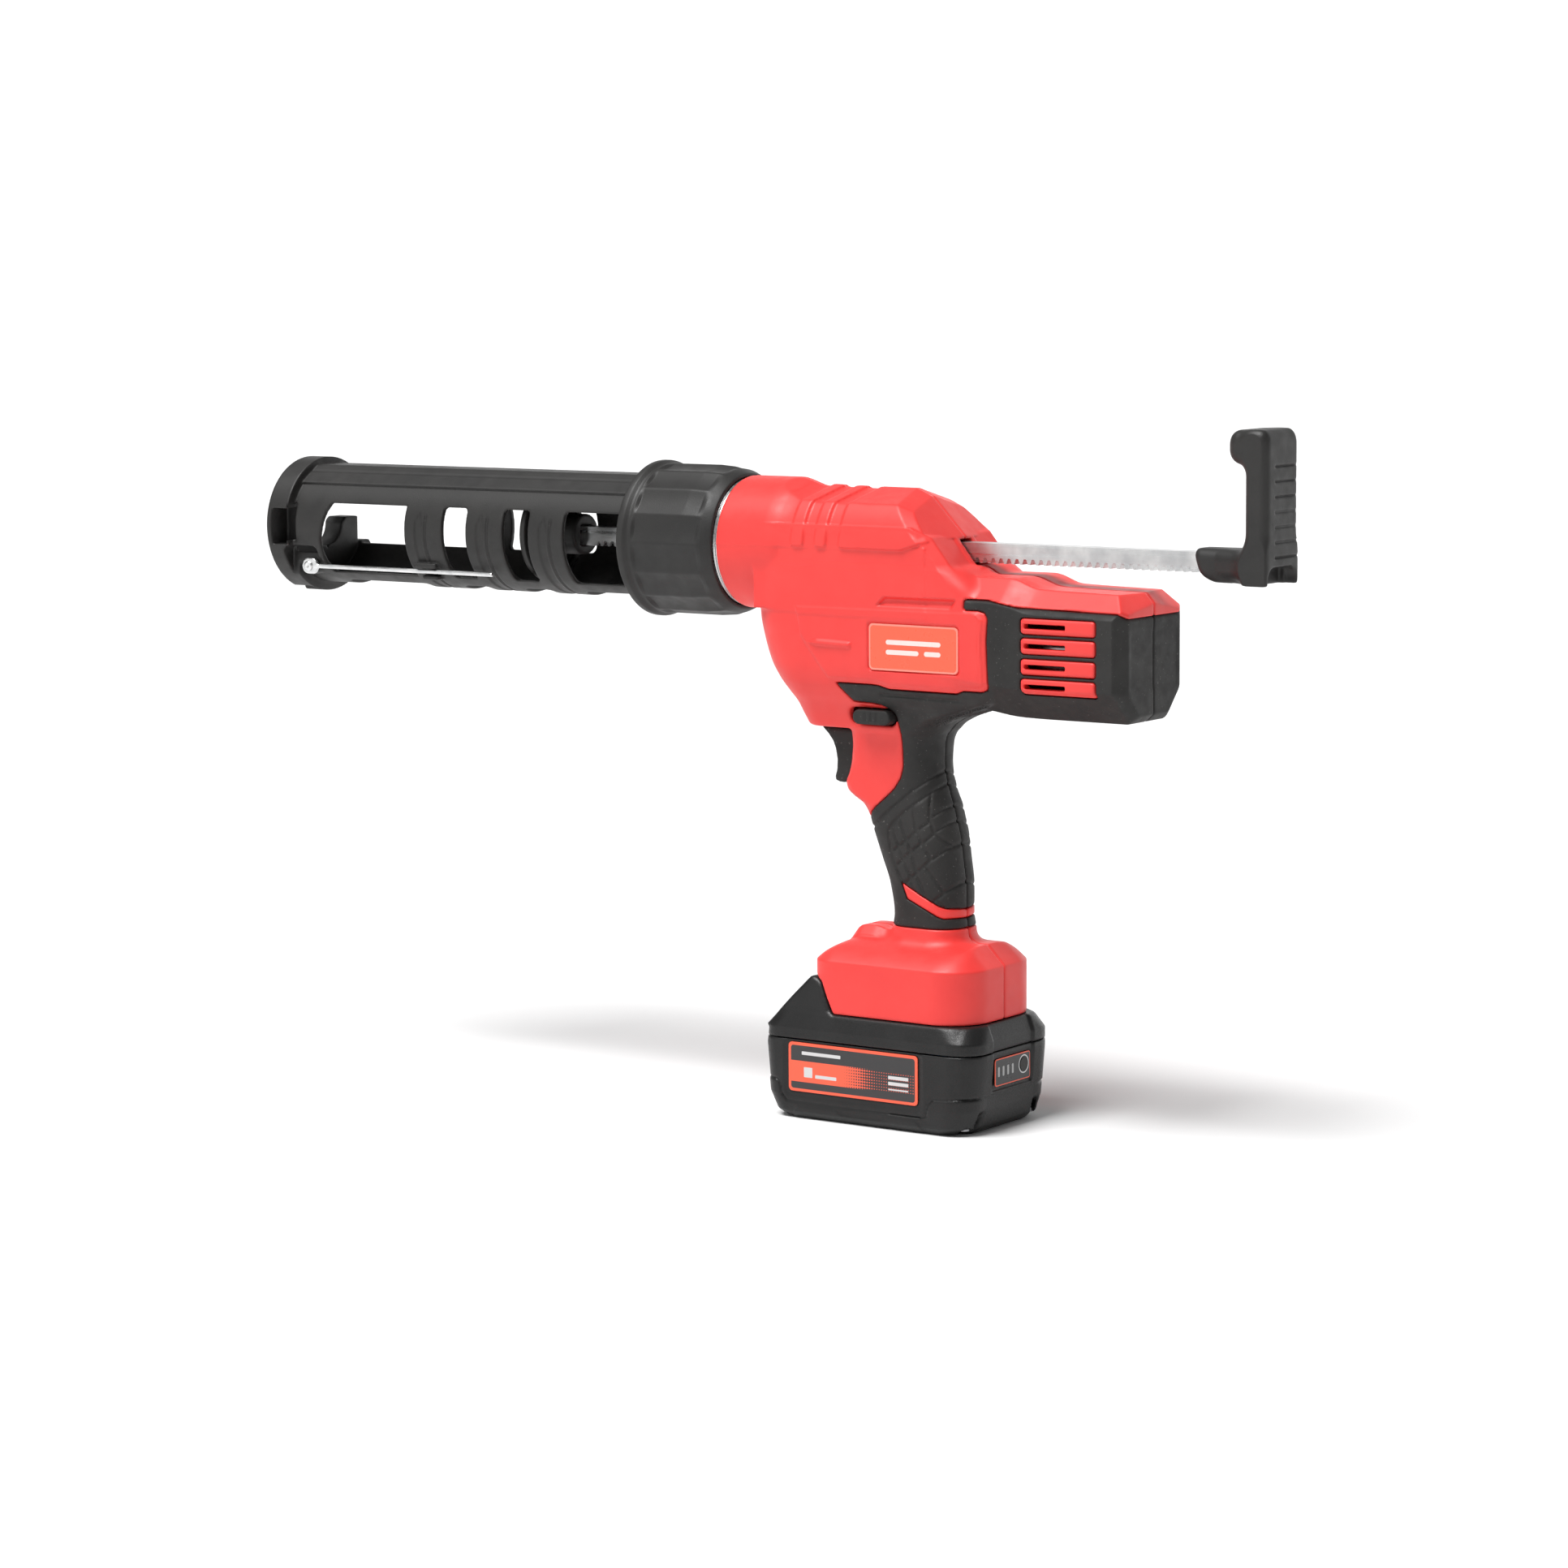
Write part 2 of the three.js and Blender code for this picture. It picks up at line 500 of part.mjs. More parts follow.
function piston() {
  const plate = turnX([
    [0, PISTON_X], [21, PISTON_X], [24, PISTON_X + 2], [24, PISTON_X + 5], [22, PISTON_X + 5],
    [20, PISTON_X + 2.6], [10, PISTON_X + 2.6], [10, -189], [8.4, -187], [0, -187],
  ], 28);
  const socket = box(-205 - GAP, -180, -RACK_HALF - GAP, RACK_HALF + GAP,
    RACK_TIP - GAP, RACK_TOP + GAP);
  const pinHole = rodY(PIN_R + GAP, -20, 20, PISTON_PIN_X, PIN_Z, 8);
  addPart('piston', without(plate, socket, pinHole), BLACK);
  addPart('piston_pin', rodY(PIN_R, -9.4, 9.4, PISTON_PIN_X, PIN_Z, 10), STEEL);
}

// ---------- gear train ----------
function involute(angle) {
  return Math.tan(angle) - angle;
}

// A spur gear outline about (0, 0); the first tooth is centred on angle phase.
function gearOutline(teeth, pitchR, addendum, dedendum, play, phase) {
  const base = pitchR * Math.cos(PRESSURE);
  const halfAtPitch = Math.PI / (2 * teeth) - play / (2 * pitchR);
  const halfAt = (r) => {
    const turn = r > base ? involute(Math.acos(base / r)) : 0;
    return halfAtPitch + involute(PRESSURE) - turn;
  };
  const radii = [pitchR - dedendum, pitchR, pitchR + addendum];
  if (teeth === PINION_TEETH) radii.splice(1, 0, base, (base + pitchR) / 2);
  const outline = [];
  for (let k = 0; k < teeth; k += 1) {
    const centre = phase + (k / teeth) * 2 * Math.PI;
    for (const r of radii) outline.push([r, centre - halfAt(r)]);
    for (const r of [...radii].reverse()) outline.push([r, centre + halfAt(r)]);
  }
  return outline.map(([r, t]) => [r * Math.cos(t), r * Math.sin(t)]);
}

function spurY(outline, x, z, y0, y1) {
  return plateY(outline.map(([a, b]) => [a + x, b + z]), y0, y1);
}

const SHAFT_R = 3;
const PLATE_Y = 19;
const SPUR_Y = [8.5, 13.5];
const SHAFT_END = 23.2;

function gearTrain() {
  // A gap of the rack pinion points straight up, where the rack has a tooth.
  const up = Math.PI / 2;
  const pinion = gearOutline(PINION_TEETH, PINION_R, 1.25, 1.3, 0.24, up + Math.PI / PINION_TEETH);
  const wheelToLay = Math.atan2(LAY_Z - PINION_Z, LAY_X - PINION_X);
  const wheel = gearOutline(WHEEL_TEETH, SPUR_MODULE * WHEEL_TEETH / 2, 1.25, 1.9, 0.4, wheelToLay);
  const lay = gearOutline(LAY_TEETH, SPUR_MODULE * LAY_TEETH / 2, 1.25, 1.9, 0.4,
    wheelToLay + Math.PI + Math.PI / LAY_TEETH);
  const bore = rodY(SHAFT_R + GAP, -40, 40, PINION_X, PINION_Z, 16);
  addPart('rack_pinion', without(
    union(spurY(pinion, PINION_X, PINION_Z, -4.4, 4.4), rodY(5.4, 4.3, 8, PINION_X, PINION_Z)),
    bore), STEEL);
  addPart('spur_wheel', without(spurY(wheel, PINION_X, PINION_Z, ...SPUR_Y), bore), DARK_STEEL);
  addPart('pinion_shaft', rodY(SHAFT_R, -SHAFT_END, SHAFT_END, PINION_X, PINION_Z, 16), STEEL);
  addPart('lay_shaft', union(
    rodY(SHAFT_R, -SHAFT_END, SHAFT_END, LAY_X, LAY_Z, 16), spurY(lay, LAY_X, LAY_Z, ...SPUR_Y)),
  STEEL);
  crownPair();
}

const CROWN_FACE = { inner: 13.2, outer: 16.8, height: 2.2 };
const CROWN_PLAY = 0.56;

function crownPair() {
  const addendum = 0.8;
  const pitchY = -CROWN_PINION_R;
  const disc = rodY(CROWN_FACE.outer, pitchY - 6.2, pitchY - 1.3, LAY_X, LAY_Z, 32);
  const recess = rodY(CROWN_FACE.inner, pitchY - 2.6, pitchY + 3, LAY_X, LAY_Z, 26);
  const hub = rodY(6.4, pitchY - 4, pitchY + 1, LAY_X, LAY_Z, 16);
  const teeth = [];
  for (let k = 0; k < CROWN_TEETH; k += 1) {
    const t = ((k + 0.5) / CROWN_TEETH) * 2 * Math.PI;
    const low = (Math.PI * CROWN_R / CROWN_TEETH) * CROWN_PLAY;
    const high = low * 0.45;
    const [y0, y1] = [pitchY - 1.5, pitchY + addendum];
    const mid = LAY_Z;
    const tooth = plateX([[y0, mid - low], [y1, mid - high], [y1, mid + high], [y0, mid + low]],
      LAY_X + CROWN_FACE.inner - 0.2, LAY_X + CROWN_FACE.outer);
    teeth.push(tooth.translate([-LAY_X, 0, -LAY_Z]).rotate([0, t * 180 / Math.PI, 0])
      .translate([LAY_X, 0, LAY_Z]));
  }
  const bore = rodY(SHAFT_R + GAP, -40, 40, LAY_X, LAY_Z, 16);
  addPart('crown_gear', without(union(without(disc, recess), hub, ...teeth), bore), DARK_STEEL);
  const outline = gearOutline(CROWN_PINION_TEETH, CROWN_PINION_R, 0.8, 1.2, 0.9, -Math.PI);
  const x0 = LAY_X + CROWN_FACE.inner;
  const pinion = plateX(outline.map(([y, z]) => [y, z + MOTOR_Z]), x0, x0 + 4.4);
  addPart('output_pinion', union(pinion, rodX(3, x0 + 4.2, 40, 0, MOTOR_Z, 16)), STEEL);
}

function gearFrame() {
  const outline = [
    [-46, 214], [-38, 206], [4, 206], [13, 214], [13, 258], [0, 282], [-38, 282], [-46, 274],
  ];
  for (const [side, y0] of [['left', -PLATE_Y - 2.6], ['right', PLATE_Y]]) {
    const holes = [[PINION_X, PINION_Z], [LAY_X, LAY_Z]].map(([x, z]) => rodY(8 + GAP, -40, 40, x, z));
    addPart(`gear_plate_${side}`, without(plateY(outline, y0, y0 + 2.6), ...holes), STEEL);
    [['pinion', PINION_X, PINION_Z], ['lay', LAY_X, LAY_Z]].forEach(([name, x, z]) => {
      const ring = rodY(8, y0 - 0.8, y0 + 3.4, x, z, 20);
      addPart(`${name}_bearing_${side}`, without(ring, rodY(SHAFT_R + 0.06, -40, 40, x, z, 16)),
        DARK_STEEL);
    });
  }
  for (const [name, x0, x1, half, z0, z1] of [
    ['rack_guide_front', -74, -62, 14, 258, 279], ['rack_guide_rear', 3, 11, 7.5, 258, 279]]) {
    const block = box(x0, x1, -half, half, z0, z1);
    const way = box(-120, 60, -RACK_HALF - 0.2, RACK_HALF + 0.2, RACK_TIP - 0.2, RACK_TOP + 0.2);
    addPart(name, without(block, way), BLACK);
  }
}

function motor() {
  const bore = rodX(4, 0, 130, 0, MOTOR_Z, 16);
  addPart('gearbox_case', without(rodX(19, 20, 58, 0, MOTOR_Z, 24), bore), DARK_STEEL);
  addPart('motor_can', without(rodX(18.4, 59, 98, 0, MOTOR_Z, 24), bore), STEEL);
  const blades = [];
  for (let k = 0; k < 7; k += 1) {
    const blade = box(101.6, 109, -0.8, 0.8, MOTOR_Z + 4, MOTOR_Z + 20);
    blades.push(blade.translate([0, 0, -MOTOR_Z]).rotate([(k / 7) * 360, 0, 0])
      .translate([0, 0, MOTOR_Z]));
  }
  const disc = rodX(20, 100.4, 102, 0, MOTOR_Z, 24);
  const hub = rodX(6, 100.6, 109, 0, MOTOR_Z, 16);
  const shaftHole = rodX(2.5 + GAP, 90, 120, 0, MOTOR_Z, 12);
  addPart('cooling_fan', without(union(disc, hub, ...blades), shaftHole), BLACK);
  addPart('motor_shaft', rodX(2.5, 44, 115, 0, MOTOR_Z, 14), STEEL);
}

// ---------- controls ----------
function controls() {
  const front = [
    [-43.2, 183.4], [-38.6, 179.4], [-35.2, 175], [-34, 168], [-34.6, 162], [-35.6, 158.6], [-34, 157.4],
  ];
  const outline = [[-17, 183.4], ...front, [-30.4, 157.1], [-27.2, 158.6], [-17, 159.8]];
  addPart('trigger', plateY(outline, -TRIGGER_HALF, TRIGGER_HALF), SOFT_BLACK);
  addPart('switch_module', box(-10, 13, -9.6, 9.6, 160, 184), BLACK);
  const bar = box(LEVER.x0 + 2, LEVER.x1 - 2, -20, 20, LEVER.z0 + 1, LEVER.z1 - 1);
  const tab = (y0, y1) => loftX([
    [LEVER.x0, LEVER.z0 + 1.4, LEVER.z1 - 1.4, 1, 0.9, 0.9],
    [LEVER.x0 + 2, LEVER.z0, LEVER.z1, 1, 0.9, 0.9], [LEVER.x1 - 1, LEVER.z0, LEVER.z1, 1, 0.9, 0.9],
    [LEVER.x1, LEVER.z0 + 0.8, LEVER.z1 - 0.8, 1, 0.9, 0.9],
  ], 0, 1).scale([1, (y1 - y0) / 2, 1]).translate([0, (y0 + y1) / 2, 0]);
  addPart('direction_lever', union(bar, tab(-25, -17), tab(17, 25)), SOFT_BLACK);
  addPart('control_board', box(24.4, 26, -8.5, 8.5, 104, 122), BOARD);
}

// ---------- battery ----------
const SEAM_Z = 38;                // where the battery's case meets its lid
const CASE_SECTIONS = [
  [0, -50, 51, 33, 10, 14], [3.5, -53.5, 55, 35.4, 9, 14], [12, -56, 56.6, BATTERY_HALF, 8, 14],
  [SEAM_Z, -58.2, 59.2, BATTERY_HALF, 8, 14],
];
const LID_SECTIONS = [
  [SEAM_Z + GAP, -58.2, 59.2, BATTERY_HALF, 8, 14], [44, -56.6, 59.2, BATTERY_HALF, 8, 14],
  [BATTERY_TOP, -50, 56.5, 34.4, 7, 18],
];
const HUMP_OUTLINE = [
  [-56, 45], [-35, 67], [-33, 67.9], [-30.5, 67.2], [-27.6, 65.2], [-21, 51.4], [-21, 45],
];
const CASE_WALL = 2.2;
const CELL_PITCH = 18.2;

function battery() {
  const pockets = [-1, 1].map((side) => box(-43, 30.5, ...[side * (BATTERY_HALF - 0.9), side * 45]
    .sort((a, b) => a - b), 12.9, 37.1));
  const gaugePocket = box(58.2, 62, -15.6, 15.6, 21.4, 34.8);
  const buttonHole = rodX(3.4 + GAP, 50, 62, 9.6, 29, 18);
  const [[bottom, ...bottomShape], ...walls] = CASE_SECTIONS;
  const inside = [[bottom + CASE_WALL, ...bottomShape], ...walls];
  const caseBody = without(loftZ(CASE_SECTIONS, 0, 3),
    loftZ([...inside, [SEAM_Z + 2, -58, 59, BATTERY_HALF, 8, 14]], CASE_WALL, 3));
  const screwWays = BATTERY_SCREWS.map(([x, y]) => union(
    rodZ(2.6 + GAP, -5, 4.8, x, y, 12), rodZ(1.4 + GAP, -5, 20, x, y, 8)));
  const posts = BATTERY_SCREWS.map(([x, y]) => rodZ(3.7, 1, 30, x, y, 12)
    .intersect(loftZ(CASE_SECTIONS, 0.5, 3)));
  addPart('battery_case', without(union(caseBody, ...posts), ...pockets, gaugePocket, buttonHole,
    ...screwWays), BLACK);
  BATTERY_SCREWS.forEach(([x, y], i) => addPart(`battery_screw_${i + 1}`, without(
    union(rodZ(2.6, 2.6, 4.5, x, y, 12), rodZ(1.4, 4, 19, x, y, 8)), rodZ(1.2, -1, 3.6, x, y, 6)),
  DARK_STEEL));
  batteryLid();
  batteryInside();
  for (const [side, y] of [['left', -BATTERY_HALF + 0.2], ['right', BATTERY_HALF - 0.6]]) {
    addPart(`battery_label_${side}`, box(-42.6, 30.1, y, y + 0.4, 13.3, 36.7), ORANGE);
  }
}

const BUTTON_HALF = 12;            // half width of the release button
const BATTERY_SCREWS = [[-50.3, -29], [-50.3, 29], [50, -28], [50, 28]];

function batteryLid() {
  const shell = loftZ(LID_SECTIONS, 0, 3);
  const hump = plateY(HUMP_OUTLINE, -31, 31);
  const tongue = union(
    box(-24, 48.6, -TONGUE_HALF + 4, TONGUE_HALF - 4, 50, 57),
    box(-24, 48.6, -TONGUE_HALF, TONGUE_HALF, 56, TONGUE_TOP));
  const hollow = loftZ([[SEAM_Z - 2, -58, 59, BATTERY_HALF, 8, 14], [49, -50, 56.5, 34.4, 7, 18]],
    CASE_WALL + 0.2, 3);
  const blades = [-9, -3, 3, 9].map((y) => box(9, 52, y - 1.2, y + 1.2, 52.6, 62));
  const well = plateY([
    [-53, 50.4], [-53, 58.6], [-35.5, 72.4], [-35.5, 58.6], [-42.1, 50.4],
  ], -BUTTON_HALF - 0.6, BUTTON_HALF + 0.6);
  addPart('battery_lid', without(union(shell, hump, tongue), hollow, ...blades, well), BLACK);
  addPart('release_button', plateY([
    [-50.9, 52.7], [-51.2, 53.8], [-38.2, 67.2], [-37.4, 66.6], [-37.4, 61.2], [-44.6, 52.7],
  ], -BUTTON_HALF, BUTTON_HALF), RED);
}

function batteryInside() {
  const cells = [];
  for (let row = 0; row < 2; row += 1) {
    for (let k = -2; k <= 2; k += 1) {
      cells.push(rodY(9, -31, 31, k * CELL_PITCH, 14 + row * CELL_PITCH, 12));
    }
  }
  const strip = (y) => box(-42, 42, y, y + 0.8, 8, 36);
  addPart('cell_pack', union(...cells, strip(-31.6), strip(30.8)), CELL);
  addPart('battery_board', box(-30, 40, -18, 18, 44, 45.6), BOARD);
  addPart('gauge_panel', without(box(58.5, 58.9, -15.2, 15.2, 21.8, 34.6),
    rodX(3.4 + GAP, 50, 62, 9.6, 29, 18)), ORANGE);
  addPart('gauge_button', rodX(3.4, 54.6, 59.2, 9.6, 29, 18), BLACK);
}

function terminalBlock() {
  const body = box(7, 35, -13.5, 13.5, 62, 71);
  const blades = [-9, -3, 3, 9].map((y) => box(13, 27, y - 0.6, y + 0.6, 54, 63));
  addPart('terminal_block', union(body, ...blades), BLACK);
}

// ---------- assembly ----------
housing();
housingScrews();
threadedRing();
lockRing();
cartridgeHolder();
needle();
rack();
pullHandle();
piston();
gearTrain();
gearFrame();
motor();
controls();
battery();
terminalBlock();

export default gun;
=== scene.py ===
"""Looks of the cordless caulking gun: moulded shells, soft grip, holder, battery and their materials.

Shapes are worked out in millimetres in the row frame (nose -X, tool's left side -Y, +Z up) and
written in metres. A moulding is a signed distance field: negative inside, sampled on a grid and
turned into a quad mesh, so that its fillets, ribs, grooves and seams are real geometry.
"""
import json
import math

import bpy
import numpy as np
from mathutils import Matrix, Vector
from numpy import clip, float32, hypot, interp, maximum, minimum


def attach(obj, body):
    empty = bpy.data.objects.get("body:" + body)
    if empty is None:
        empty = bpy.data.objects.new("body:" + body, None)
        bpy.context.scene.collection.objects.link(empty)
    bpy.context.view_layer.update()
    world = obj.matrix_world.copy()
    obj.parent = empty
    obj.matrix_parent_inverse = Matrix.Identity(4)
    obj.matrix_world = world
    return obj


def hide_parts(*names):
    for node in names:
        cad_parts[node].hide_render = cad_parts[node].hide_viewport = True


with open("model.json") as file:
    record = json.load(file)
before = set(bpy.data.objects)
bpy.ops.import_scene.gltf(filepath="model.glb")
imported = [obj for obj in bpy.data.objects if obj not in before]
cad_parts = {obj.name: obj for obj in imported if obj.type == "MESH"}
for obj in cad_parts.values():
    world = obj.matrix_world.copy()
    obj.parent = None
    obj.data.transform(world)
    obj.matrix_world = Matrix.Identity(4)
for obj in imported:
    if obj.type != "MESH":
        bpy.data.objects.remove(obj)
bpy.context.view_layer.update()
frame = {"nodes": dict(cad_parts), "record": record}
SLOTS = {s["node"]: s["material_slot"] for s in frame["record"]["subparts"]}
MM = 0.001
AXIS_Z = 268.5  # axis of holder, lock ring and piston
RACK_Z = 268  # middle of the rack's section
LEVER_Z = 191.1  # middle of the direction lever
GRIP_Y = 17  # half width of the grip where its side view is square on
BADGE = (0, 49, 214.2, 235.8)  # plate on each side: x from and to, z from and to
LABEL = (-42.6, 30.1, 13.3, 36.7)  # battery label, the same way


# ---------- distance field tools ----------
class Grid:
    """Sample points of a box, as three open arrays that broadcast together."""

    def __init__(self, low, high, step):
        self.low, self.step = np.array(low, float), step
        self.counts = [int(math.ceil((b - a) / step)) + 1 for a, b in zip(low, high)]
        axes = [a + step * np.arange(n) for a, n in zip(low, self.counts)]
        self.x = axes[0].astype(float32)[:, None, None]
        self.y = axes[1].astype(float32)[None, :, None]
        self.z = axes[2].astype(float32)[None, None, :]


def smax(a, b, k):
    """The larger of two fields, with the edge between them rounded over about k."""
    h = clip(0.5 + 0.5 * (a - b) / k, 0, 1)
    return b + (a - b) * h + k * h * (1 - h)


def smin(a, b, k):
    return -smax(-a, -b, k)


def top(*fields):
    """The sharp intersection of several fields."""
    out = fields[0]
    for f in fields[1:]:
        out = maximum(out, f)
    return out


def chamfered(a, b, size):
    """The intersection of two fields, its edge cut off by size."""
    return top(a, b, (a + b + size) * 0.7071)


def carve(field, *cuts):
    """A field less each (cut, rounding) in turn."""
    for cut, k in cuts:
        field = smax(field, -cut, k)
    return field


def along(g, xs, values):
    """Values looked up by straight lines along x, ready to mix with the grid's arrays."""
    return interp(g.x[:, 0, 0], xs, values).astype(float32)[:, None, None]


def curve(t, points):
    """A smooth curve through (t, value) points that doesn't overshoot them."""
    xs, ys = np.array(points, float).T
    slopes = np.diff(ys) / np.diff(xs)
    m = np.empty_like(ys)
    m[0], m[-1] = slopes[0], slopes[-1]
    for i in range(1, len(xs) - 1):
        a, b = slopes[i - 1], slopes[i]
        m[i] = 2 * a * b / (a + b) if a * b > 0 else 0
    i = clip(np.searchsorted(xs, t) - 1, 0, len(xs) - 2)
    h = xs[i + 1] - xs[i]
    s = clip((t - xs[i]) / h, 0, 1)
    out = ((2 * s**3 - 3 * s**2 + 1) * ys[i] + (s**3 - 2 * s**2 + s) * h * m[i]
           + (3 * s**2 - 2 * s**3) * ys[i + 1] + (s**3 - s**2) * h * m[i + 1])
    return out.astype(float32)


def plan(u, v, u0, u1, half, r0, r1):
    """A rounded rectangle from u0 to u1 and -half to half, with its own radius at each end."""
    r = np.where(u < (u0 + u1) / 2, r0, r1)
    qu = abs(u - (u0 + u1) / 2) - (u1 - u0) / 2 + r
    qv = abs(v) - half + r
    return minimum(maximum(qu, qv), 0) + hypot(maximum(qu, 0), maximum(qv, 0)) - r


def outline(u, v, points):
    """Signed distance to a closed polygon of (u, v) points."""
    best = None
    inside = False
    n = len(points)
    for i in range(n):
        (ax, ay), (bx, by) = points[i], points[(i + 1) % n]
        ex, ey = bx - ax, by - ay
        t = clip(((u - ax) * ex + (v - ay) * ey) / (ex * ex + ey * ey), 0, 1)
        d = hypot(u - ax - t * ex, v - ay - t * ey)
        best = d if best is None else minimum(best, d)
        if ay != by:
            inside = inside ^ (((v < ay) != (v < by)) & (u < ax + (v - ay) * ex / ey))
    return np.where(inside, -best, best).astype(float32)


def path(u, v, points):
    """Distance to an open run of (u, v) points."""
    best = float32(1e3)
    for (ax, ay), (bx, by) in zip(points[:-1], points[1:]):
        ex, ey = bx - ax, by - ay
        t = clip(((u - ax) * ex + (v - ay) * ey) / (ex * ex + ey * ey), 0, 1)
        best = minimum(best, hypot(u - ax - t * ex, v - ay - t * ey))
    return best


def groove(distance, half, depth):
    """How deep a rounded groove is at a distance from its middle line."""
    return depth * clip(1 - (distance / half) ** 2, 0, 1)


def raised(field, height, bevel):
    """A plateau over the inside of a flat outline, with a bevelled edge."""
    return height * clip(-field / bevel, 0, 1)


CORNERS = np.array([(i, j, k) for i in (0, 1) for j in (0, 1) for k in (0, 1)])
EDGES = [(a, b) for a in range(8) for b in range(8)
         if a < b and abs(CORNERS[a] - CORNERS[b]).sum() == 1]


def skin(values, grid):
    """Surface nets: one point in each cell that the surface crosses, one quad for each crossed edge."""
    inside = values < 0
    counts = np.zeros([n - 1 for n in values.shape], np.int8)
    for i, j, k in CORNERS:
        counts += inside[i:i + counts.shape[0], j:j + counts.shape[1], k:k + counts.shape[2]]
    cells = np.argwhere((counts > 0) & (counts < 8))
    index = np.full(counts.shape, -1, np.int32)
    index[tuple(cells.T)] = np.arange(len(cells))
    at = [values[tuple((cells + c).T)] for c in CORNERS]
    total = np.zeros((len(cells), 3))
    hits = np.zeros(len(cells))
    for a, b in EDGES:
        crossed = (at[a] < 0) != (at[b] < 0)
        t = np.where(crossed, at[a] / np.where(crossed, at[a] - at[b], 1), 0)
        total += crossed[:, None] * (CORNERS[a] + t[:, None] * (CORNERS[b] - CORNERS[a]))
        hits += crossed
    points = grid.low + grid.step * (cells + total / hits[:, None])
    quads = []
    for axis in range(3):
        u, v = (axis + 1) % 3, (axis + 2) % 3
        low = np.moveaxis(inside, (axis, u, v), (0, 1, 2))
        change = np.argwhere(low[:-1, 1:-1, 1:-1] != low[1:, 1:-1, 1:-1]) + (0, 1, 1)
        entering = low[tuple(change.T)]
        ring = np.moveaxis(index, (axis, u, v), (0, 1, 2))
        quad = np.stack([ring[tuple((change - offset).T)] for offset in
                         ((0, 1, 1), (0, 0, 1), (0, 0, 0), (0, 1, 0))], axis=1)
        quads.append(np.where(entering[:, None], quad, quad[:, ::-1]))
    return points, np.concatenate(quads)


# ---------- pieces ----------
def piece(name, points, faces, material, body, node, smooth=True):
    """A mesh object from points in millimetres, riding on a body and standing for a CAD node."""
    mesh = bpy.data.meshes.new(name)
    faces = np.asarray(faces)
    sides = faces.shape[1]
    mesh.vertices.add(len(points))
    mesh.vertices.foreach_set("co", (np.asarray(points) * MM).astype(float32).ravel())
    mesh.loops.add(faces.size)
    mesh.loops.foreach_set("vertex_index", faces.astype(np.int32).ravel())
    mesh.polygons.add(len(faces))
    mesh.polygons.foreach_set("loop_start", np.arange(0, faces.size, sides, dtype=np.int32))
    mesh.polygons.foreach_set("use_smooth", np.full(len(faces), smooth))
    mesh.update(calc_edges=True)
    mesh.materials.append(material)
    ob = bpy.data.objects.new(name, mesh)
    bpy.context.scene.collection.objects.link(ob)
    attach(ob, body)
    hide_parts(node)
    return ob


def moulding(name, values, grid, material, body, node, mirror=False):
    """A piece from the skin of a field, mirrored to the tool's other side if asked."""
    points, quads = skin(values, grid)
    if mirror:
        points = points * (1, -1, 1)
        quads = quads[:, ::-1]
    return piece(name, points, quads, material, body, node)


def turned(name, profile, material, body, node, steps, swell=None):
    """A ring about the holder's axis from a closed profile of (radius, x) points."""
    profile = np.array(profile, float)
    angle = np.arange(steps) * 2 * math.pi / steps
    radius = np.repeat(profile[None, :, 0], steps, axis=0)
    if swell is not None:
        radius = radius + swell(angle[:, None], profile[None, :, 0], profile[None, :, 1])
    x = np.repeat(profile[None, :, 1], steps, axis=0)
    y = radius * np.sin(angle)[:, None]
    z = AXIS_Z + radius * np.cos(angle)[:, None]
    points = np.stack([x, y, z], axis=2).reshape(-1, 3)
    count = len(profile)
    i, j = np.meshgrid(np.arange(steps), np.arange(count), indexing="ij")
    near, far = i * count, ((i + 1) % steps) * count
    step = (j + 1) % count
    quads = np.stack([near + j, near + step, far + step, far + j], axis=2).reshape(-1, 4)
    a, b, c = (points[quads[:, k]] for k in range(3))
    if np.einsum("ij,ij->", a - (0, 0, AXIS_Z), np.cross(b - a, c - a)) < 0:
        quads = quads[:, ::-1]
    return piece(name, points, quads, material, body, node)


def rounded_profile(points, radius=0.6, steps=3):
    """Rounds each corner of a closed (radius, x) profile."""
    out = []
    n = len(points)
    for i in range(n):
        p0, p1, p2 = (np.array(points[(i + k) % n], float) for k in (-1, 0, 1))
        a, b = p0 - p1, p2 - p1
        cut = min(radius, 0.45 * hypot(*a), 0.45 * hypot(*b))
        a, b = p1 + a / hypot(*a) * cut, p1 + b / hypot(*b) * cut
        for s in np.linspace(0, 1, steps + 1):
            out.append((1 - s) ** 2 * a + 2 * s * (1 - s) * p1 + s**2 * b)
    return out


def bevelled(node, material, body, width):
    """A copy of a CAD node with its sharp edges broken, standing for the node."""
    source = frame["nodes"][node]
    ob = bpy.data.objects.new("fine_" + node, source.data.copy())
    bpy.context.scene.collection.objects.link(ob)
    ob.matrix_world = source.matrix_world.copy()
    ob.data.materials.clear()
    ob.data.materials.append(material)
    weld = ob.modifiers.new("weld", "WELD")
    weld.merge_threshold = 0.00002
    flat = ob.modifiers.new("flat", "DECIMATE")
    flat.decimate_type = "DISSOLVE"
    flat.angle_limit = math.radians(1)
    bevel = ob.modifiers.new("bevel", "BEVEL")
    bevel.width = width * MM
    bevel.segments = 2
    bevel.limit_method = "ANGLE"
    bevel.angle_limit = math.radians(32)
    ob.data.polygons.foreach_set("use_smooth", [False] * len(ob.data.polygons))
    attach(ob, body)
    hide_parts(node)
    return ob


